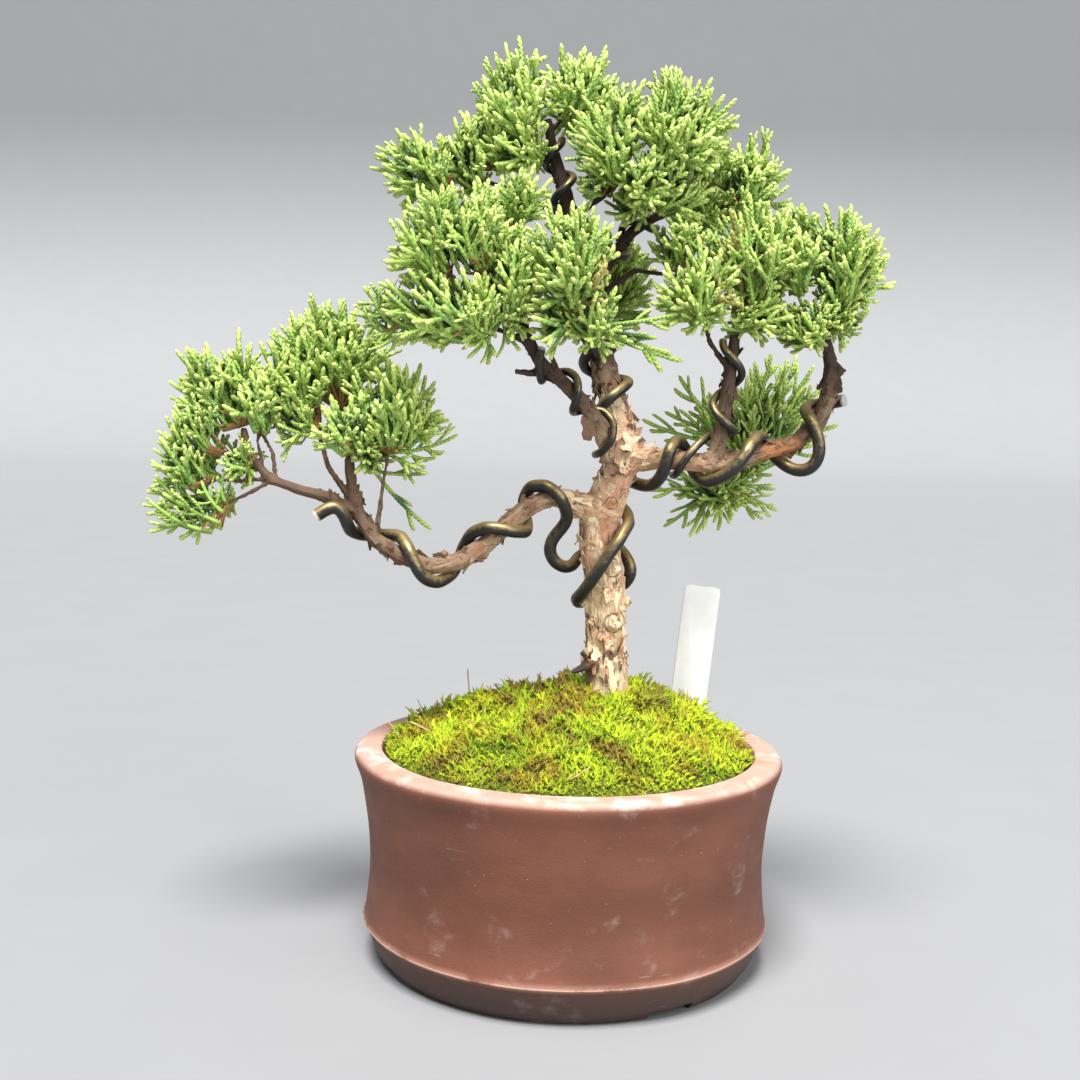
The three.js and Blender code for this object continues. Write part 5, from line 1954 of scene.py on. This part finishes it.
@dataclass
class TrainingPot:
    """A round waisted clay pot with a thick lip, a low ridge and a notched foot ring."""

    height: float = 67.2
    lip_radius: float = 68.0
    lip_depth: float = 8.0
    lip_edge: float = 2.6
    mouth_radius: float = 59.1
    waist_radius: float = 62.9
    waist_height: float = 30.0
    ridge_radius: float = 64.8
    ridge_height: float = 12.6
    foot_radius: float = 58.2
    foot_width: float = 8.0
    foot_recess: float = 4.0
    floor_top: float = 10.0
    floor_radius: float = 55.0
    drain_radius: float = 11.0
    lip_flare: float = 3.4
    lip_curve: float = 1.8
    ridge_flare: float = 1.5
    ridge_curve: float = 1.6
    wall_steps: tuple[int, int, int] = (16, 59, 3)
    notch_length: float = 24.0
    notch_width: float = 15.0
    notch_height: float = 2.8
    notch_bevel: float = 0.03
    notch_angles: tuple[float, ...] = (-57.5, 62.5, 182.5)
    sides: int = 144
    wobbles: tuple[Span, ...] = ((0.035, 0.35), (0.11, 0.12))
    rim_band: Span = (2.4, 1.6)
    edge_width: float = 0.7
    foot_band: Span = (0.4, 1.5)
    waist_band: Span = (4.0, 9.0)

    def wall_radius(self, height: float) -> float:
        """Gives the wall's radius at a height between the ridge and the lip.

        Args:
            height: the height in millimetres.

        Returns:
            The radius in millimetres.
        """
        if height > self.waist_height:
            above = (height - self.waist_height) / (self.height - self.lip_depth - self.waist_height)
            return self.waist_radius + self.lip_flare * above**self.lip_curve
        below = (self.waist_height - height) / (self.waist_height - self.ridge_height)
        return self.waist_radius + self.ridge_flare * below**self.ridge_curve

    def profile(self) -> list[tuple[float, float]]:
        """Gives the pot's section as radii and heights, from the drain hole out and back.

        Returns:
            The section's corners.
        """
        wall = [(self.wall_radius(height), height) for height in range(*self.wall_steps)]
        edge = self.lip_edge
        edge_height = self.height - edge - 0.3
        lip = [(self.lip_radius - 1.2, self.height - 6.8), (self.lip_radius - 0.5, self.height - 5)]
        lip += [
            (self.lip_radius - edge + edge * math.cos(angle), edge_height + edge * math.sin(angle))
            for angle in (math.radians(-12 + 100 * i / 9) for i in range(10))
        ]
        return [
            (self.drain_radius, self.foot_recess),
            (self.foot_radius - self.foot_width, self.foot_recess),
            (self.foot_radius - self.foot_width, 0.4),
            (self.foot_radius - self.foot_width + 0.5, 0.0),
            (self.foot_radius - 0.6, 0.0),
            (self.foot_radius + 0.3, 0.5),
            (self.foot_radius + 3, 4.2),
            (self.ridge_radius - 0.8, self.ridge_height - 1.4),
            (self.ridge_radius - 0.15, self.ridge_height - 0.5),
            (self.ridge_radius + 0.05, self.ridge_height),
            (self.ridge_radius - 0.25, self.ridge_height + 0.45),
            (self.wall_radius(14.4), 14.4),
            *wall,
            *lip,
            (self.mouth_radius + 1.6, self.height),
            (self.mouth_radius + 0.5, self.height - 0.4),
            (self.mouth_radius, self.height - 1.6),
            (self.floor_radius + 1.5, self.floor_top + 3),
            (self.floor_radius - 1.5, self.floor_top),
            (self.drain_radius, self.floor_top),
        ]

    def build(self, look: bpy.types.Material) -> None:
        """Models the pot by spinning its section round its axis.

        Args:
            look: the clay's material.
        """
        outline = self.profile()
        deselect()
        bpy.ops.mesh.primitive_plane_add(size=2 * MM)
        piece = bpy.context.active_object
        bpy.ops.object.mode_set(mode="EDIT")
        bpy.ops.mesh.merge(type="CENTER")
        radius, height = outline[0]
        bpy.ops.transform.translate(value=(POT_AXIS.x + radius * MM, POT_AXIS.y, height * MM))
        for (radius, height), (next_radius, next_height) in zip(outline, outline[1:]):
            step = ((next_radius - radius) * MM, 0, (next_height - height) * MM)
            bpy.ops.mesh.extrude_region_move(TRANSFORM_OT_translate={"value": step})
        bpy.ops.mesh.select_all(action="SELECT")
        bpy.ops.mesh.spin(steps=self.sides, angle=math.tau, center=POT_AXIS, axis=(0, 0, 1))
        bpy.ops.mesh.select_all(action="SELECT")
        bpy.ops.mesh.remove_doubles(threshold=1e-6)
        bpy.ops.mesh.select_all(action="SELECT")
        bpy.ops.mesh.select_mode(type="EDGE")
        bpy.ops.mesh.select_all(action="DESELECT")
        bpy.ops.mesh.select_non_manifold(extend=False)
        bpy.ops.mesh.bridge_edge_loops()
        bpy.ops.mesh.select_mode(type="VERT")
        bpy.ops.mesh.select_all(action="SELECT")
        bpy.ops.mesh.normals_make_consistent(inside=False)
        bpy.ops.object.mode_set(mode="OBJECT")
        piece.name = "clay_pot"
        self.cut_notches(piece)
        self.make_uneven_and_mark(piece)
        smooth(piece, 40)
        settle(piece, Slot.CLAY, look, "pot")

    def cut_notches(self, piece: bpy.types.Object) -> None:
        """Cuts the shallow notches through the foot ring.

        Args:
            piece: the pot.
        """
        for angle in self.notch_angles:
            turn = math.radians(angle)
            centre = POT_AXIS + Vector((math.cos(turn), math.sin(turn), 0)) * (self.foot_radius * MM)
            deselect()
            bpy.ops.mesh.primitive_cube_add(size=1, location=centre, rotation=(0, 0, turn))
            cutter = bpy.context.active_object
            cutter.scale = (self.notch_length * MM, self.notch_width * MM, 2 * self.notch_height * MM)
            modify(cutter, "BEVEL", width=self.notch_bevel, segments=3)
            modify(piece, "BOOLEAN", object=cutter, operation="DIFFERENCE", solver="EXACT")
            bpy.data.objects.remove(cutter)

    def make_uneven_and_mark(self, piece: bpy.types.Object) -> None:
        """Makes the pot slightly uneven and marks its lip, ridge and foot for the material, which paints
        the foot dark as shade.

        Args:
            piece: the pot.
        """
        marks: dict[str, list[float]] = {"rim": [], "edge": [], "foot": [], "waist": []}
        for vertex in piece.data.vertices:
            offset = (vertex.co - POT_AXIS) / MM
            radius = math.hypot(offset.x, offset.y)
            wobble = sum(noise.noise(offset * rate) * height for rate, height in self.wobbles)
            if radius > self.mouth_radius - 1 and offset.z > 2:
                outward = Vector((offset.x, offset.y, 0)).normalized()
                vertex.co += outward * (wobble * MM)
            depth, fade = self.rim_band
            marks["rim"].append(clamp((offset.z - self.height + depth) / fade))
            marks["edge"].append(max(0.0, 1 - abs(offset.z - self.ridge_height) / self.edge_width))
            # The foot below the ridge is marked for painted shade.
            depth, fade = self.foot_band
            marks["foot"].append(clamp((self.ridge_height - depth - offset.z) / fade))
            above, fade = self.waist_band
            marks["waist"].append(math.exp(-((offset.z - self.waist_height - above) / fade) ** 2))
        for name, values in marks.items():
            mark(piece, name, values)


@dataclass
class MossCarpet:
    """A mounded carpet of moss tufts that fills the pot to its lip."""

    radius: float = 58.4
    tufts: int = 4700
    leaves: int = 8
    leaf_length: float = 2.4
    sprigs: int = 2300
    straws: int = 46
    kinds: int = 6
    straw_kinds: int = 4
    sprig_height: float = 3.4
    sprig_leaves: int = 9
    sprig_bends: Span = (0.04, 0.13)
    straw_lengths: Span = (5.0, 9.0)
    straw_height: float = 1.5
    tuft_lean: float = 0.35
    sprig_lean: float = 0.9
    straw_lean: float = 2.2
    clump: float = 1.1
    clump_rate: float = 0.16
    top_from: float = 0.3
    lowest: float = 55.0
    sizes: Span = (0.7, 1.3)
    rim_loss: float = 0.45

    def build(self, look: bpy.types.Material) -> None:
        """Models the mound and the tufts on it.

        Args:
            look: the moss's material.
        """
        mound = copy_of_node("moss_carpet", "moss_mound")
        modify(mound, "SUBSURF", subdivision_type="SIMPLE", levels=2, render_levels=2)
        tops = [vertex for vertex in mound.data.vertices if vertex.normal.z > self.top_from]
        for vertex in tops:
            vertex.co += UP * (self.clump * noise.noise(vertex.co / MM * self.clump_rate) * MM)
        tree = tree_of(mound)
        # The mound sits low among the tufts and is painted mostly with that dark root shade.
        mark(mound, "tip", 0.35)
        mark(mound, "tone", 0.5)
        draw = random.Random(SEED + 7)
        tufts = self.spread(
            tree, [self.tuft(draw) for _ in range(self.kinds)], self.tufts, self.tuft_lean
        )
        settle(join([mound, *tufts], "moss_tufts"), Slot.MOSS, look, "moss_carpet")
        sprigs = self.spread(
            tree, [self.sprig(draw) for _ in range(self.kinds)], self.sprigs, self.sprig_lean
        )
        straws = self.spread(
            tree, [self.straw(draw) for _ in range(self.straw_kinds)], self.straws, self.straw_lean
        )
        settle(join([*sprigs, *straws], "moss_sprigs"), Slot.MOSS, look, "moss_carpet")

    def spread(
        self, tree: BVHTree, kinds: list[bpy.types.Object], number: int, lean: float
    ) -> list[bpy.types.Object]:
        """Copies tufts or sprigs all over the mound.

        Args:
            tree: the mound's surface.
            kinds: the tufts or sprigs that are copied, which are then thrown away.
            number: how many copies would fill the mound's round outline.
            lean: how far they tilt any way.

        Returns:
            The copies.
        """
        draw = random.Random(SEED + number)
        parts = []
        for i in range(number):
            reach = self.radius * math.sqrt((i + 0.5) / number)
            angle = GOLDEN_ANGLE * i + draw.uniform(-0.02, 0.02)
            above = place((reach * math.cos(angle), reach * math.sin(angle), 120))
            spot, normal, _, _ = tree.ray_cast(above, -UP)
            if spot is None or spot.z < self.lowest * MM:
                continue
            size = draw.uniform(*self.sizes) * (1.1 + 0.7 * noise.noise(spot / MM * self.clump_rate))
            size *= 1 - self.rim_loss * (reach / self.radius) ** 6
            tone = 0.5 + 1.0 * noise.noise(spot / MM * 0.07) + 0.5 * noise.noise(spot / MM * 0.2)
            tone += 0.002 * (spot.x - POT_AXIS.x) / MM + draw.uniform(-0.28, 0.28)
            tilt = normal + stray(draw, 2) * lean
            turn = facing(tilt, Vector((math.cos(angle * 7), math.sin(angle * 7), 0)))
            made = copy_of(draw.choice(kinds), Matrix.Translation(spot) @ turn @ Matrix.Scale(size, 4))
            mark(made, "tone", clamp(tone))
            parts.append(made)
        for template in kinds:
            bpy.data.objects.remove(template)
        return parts

    def sprig(self, draw: random.Random) -> bpy.types.Object:
        """Models one taller sprig: a stem that curves over, with small leaves up its sides.

        Args:
            draw: gives the random numbers.

        Returns:
            The sprig.
        """
        bend = draw.uniform(*self.sprig_bends)
        leaves = [self.leaf(self.sprig_height, 0.32, 0.0, 0.0)]
        for i in range(self.sprig_leaves):
            share = 0.2 + 0.75 * i / self.sprig_leaves
            leaf = self.leaf(draw.uniform(1.0, 1.5), 0.32, draw.uniform(0.4, 0.8), 2.4 * i)
            leaf.location = (0, 0, self.sprig_height * share * MM)
            mark(leaf, "tip", [min(1.0, share + 0.25)] * len(leaf.data.vertices))
            leaves.append(leaf)
        sprig = join(leaves, "sprig")
        bow(sprig, bend)
        smooth(sprig)
        return sprig

    def straw(self, draw: random.Random) -> bpy.types.Object:
        """Models one pale dead stalk that lies on the moss.

        Args:
            draw: gives the random numbers.

        Returns:
            The stalk.
        """
        length = draw.uniform(*self.straw_lengths)
        straw = Shoot(length, 0.2, bend=draw.uniform(0.01, 0.05), is_wood=True).build()
        straw.location = (0, 0, self.straw_height * MM)
        mark(straw, "straw", 1.0)
        return join([straw], "straw")

    def leaf(self, length: float, radius: float, lean: float, turn: float) -> bpy.types.Object:
        """Models one narrow pointed leaf, leaning out from its foot.

        Args:
            length: its length in millimetres.
            radius: its radius at the foot.
            lean: how far it leans.
            turn: where it leans to.

        Returns:
            The leaf.
        """
        deselect()
        bpy.ops.mesh.primitive_cone_add(
            vertices=3, radius1=radius * MM, radius2=0.0, depth=length * MM,
            location=(0, 0, length * MM / 2), end_fill_type="NOTHING",
        )
        leaf = bpy.context.active_object
        bpy.ops.object.transform_apply(location=True, rotation=False, scale=False)
        mark(leaf, "tip", [vertex.co.z / (length * MM) for vertex in leaf.data.vertices])
        leaf.rotation_euler = (0, lean, turn)
        return leaf

    def tuft(self, draw: random.Random) -> bpy.types.Object:
        """Models one tuft: narrow leaves that lean out of one point.

        Args:
            draw: gives the random numbers.

        Returns:
            The tuft.
        """
        leaves = []
        for i in range(self.leaves):
            lean = draw.uniform(0.3, 1.15) if i else 0.1
            angle = math.tau * i / self.leaves + draw.uniform(-0.4, 0.4)
            leaves.append(self.leaf(self.leaf_length * draw.uniform(0.7, 1.2), 0.4, lean, angle))
        tuft = join(leaves, "tuft")
        smooth(tuft)
        return tuft


@dataclass
class PlantLabel:
    """A flat white plastic tag with round corners, left bare."""

    bevel: float = 0.28

    def build(self, look: bpy.types.Material) -> None:
        """Models the tag with softened edges.

        Args:
            look: the label's material.
        """
        piece = copy_of_node("plant_label", "white_tag")
        edit(piece)
        bpy.ops.mesh.dissolve_limited(angle_limit=math.radians(3))
        bpy.ops.object.mode_set(mode="OBJECT")
        modify(piece, "BEVEL", width=self.bevel * MM, segments=2, limit_method="ANGLE")
        smooth(piece, 40)
        settle(piece, Slot.LABEL, look, "plant_label")


@dataclass(frozen=True)
class Viewpoint:
    """The photograph's viewpoint, matched to the pot, the label and the branches."""

    back: float = 0.4423
    height: float = 0.17506
    pitch: float = 0.095
    yaw: float = -0.024
    roll: float = 0.024
    lens: float = 46.69

    def build(self) -> None:
        """Adds the camera."""
        data = bpy.data.cameras.new("camera")
        data.lens = self.lens
        data.sensor_width = 36.0
        data.clip_start, data.clip_end = 0.01, 20.0
        camera = put("camera", data)
        ahead = Vector((
            math.sin(self.yaw) * math.cos(self.pitch),
            math.cos(self.yaw) * math.cos(self.pitch),
            -math.sin(self.pitch),
        ))
        right = Vector((math.cos(self.yaw), -math.sin(self.yaw), 0.0))
        top = right.cross(ahead)
        across = right * math.cos(self.roll) + top * math.sin(self.roll)
        upward = top * math.cos(self.roll) - right * math.sin(self.roll)
        turn = Matrix((across, upward, -ahead)).transposed().to_4x4()
        camera.matrix_world = Matrix.Translation(POT_AXIS + Vector((0, -self.back, self.height))) @ turn
        bpy.context.scene.camera = camera


@dataclass(frozen=True)
class Studio:
    """A plain pale floor under soft lights."""

    floor_size: float = 7.0
    bend: float = 1.2
    sun_power: float = 6.6
    sun_size: float = 0.4
    sun_way: Place = (0.08, 0.42, -1.0)
    fill_place: Place = (0.7, -0.75, 0.5)
    fill_size: float = 0.9
    fill_power: float = 9.0
    sky: Colour = (0.8, 0.83, 0.88)
    sky_strength: float = 0.5

    def build(self) -> None:
        """Adds the floor, the lights and the surrounding light."""
        bpy.context.scene.view_settings.view_transform = "Standard"
        self.floor()
        sun = bpy.data.lights.new("key", "SUN")
        sun.energy = self.sun_power
        sun.angle = self.sun_size
        key = put("key", sun)
        key.rotation_euler = Vector(self.sun_way).to_track_quat("-Z", "Y").to_euler()
        self.lamp("fill", self.fill_place, self.fill_size, self.fill_power)
        world = bpy.data.worlds.new("studio")
        world.use_nodes = True
        background = world.node_tree.nodes["Background"]
        background.inputs["Color"].default_value = (*self.sky, 1.0)
        background.inputs["Strength"].default_value = self.sky_strength
        bpy.context.scene.world = world

    def floor(self) -> None:
        """Adds the floor, which sweeps up into a backdrop far behind the tree."""
        deselect()
        bpy.ops.mesh.primitive_plane_add(size=self.floor_size)
        floor = bpy.context.active_object
        floor.name = "floor"
        half = self.floor_size / 2
        bpy.ops.object.mode_set(mode="EDIT")
        bpy.ops.mesh.select_all(action="DESELECT")
        bpy.ops.object.mode_set(mode="OBJECT")
        for edge in floor.data.edges:
            ends = [floor.data.vertices[i].co for i in edge.vertices]
            edge.select = all(end.y > half - 0.01 for end in ends)
        bpy.ops.object.mode_set(mode="EDIT")
        bpy.ops.mesh.select_mode(type="EDGE")
        bpy.ops.mesh.spin(steps=40, angle=-math.pi / 2, center=(0, half, self.bend), axis=(1, 0, 0))
        bpy.ops.mesh.extrude_region_move(TRANSFORM_OT_translate={"value": (0, 0, half)})
        bpy.ops.mesh.select_mode(type="VERT")
        bpy.ops.mesh.select_all(action="SELECT")
        bpy.ops.mesh.remove_doubles(threshold=1e-4)
        bpy.ops.mesh.normals_make_consistent(inside=False)
        bpy.ops.object.mode_set(mode="OBJECT")
        smooth(floor, 10)
        floor.data.materials.append(FLOOR_FINISH.dress())
        floor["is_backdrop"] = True

    def lamp(self, name: str, spot: Place, size: float, power: float) -> None:
        """Adds one soft square lamp that faces the tree.

        Args:
            name: the lamp's name.
            spot: its place in metres.
            size: its sides' length in metres.
            power: its power in watts.
        """
        data = bpy.data.lights.new(name, "AREA")
        data.size = size
        data.energy = power
        lamp = put(name, data)
        lamp.location = spot
        target = Vector((0, 0, 0.15)) - Vector(spot)
        lamp.rotation_euler = target.to_track_quat("-Z", "Y").to_euler()


def main() -> None:
    """Builds the camera, the studio and every piece of the bonsai."""
    logging.basicConfig(level=logging.INFO, format="%(name)s: %(message)s")
    Viewpoint().build()
    Studio().build()
    for node, slot, finish in (
        ("soil", Slot.SOIL, SOIL_FINISH),
        ("drain_screen", Slot.MESH, SCREEN_FINISH),
    ):
        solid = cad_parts[node]
        solid.data.materials.clear()
        solid.data.materials.append(finish.dress())
    TrainingPot().build(ClayFinish().dress())
    MossCarpet().build(MossFinish().dress())
    PlantLabel().build(LABEL_FINISH.dress())
    bark = BarkFinish().dress()
    Wood().build(bark)
    BarkFlakes().build(bark)
    TrainingWires().build(WireFinish().dress())
    Foliage().build(FoliageFinish().dress())
    boxes = {"cad": CAD_BOX, "visual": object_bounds()}
    {name: [list(corner) for corner in box] for name, box in boxes.items()}


if __name__ == "__main__":
    main()
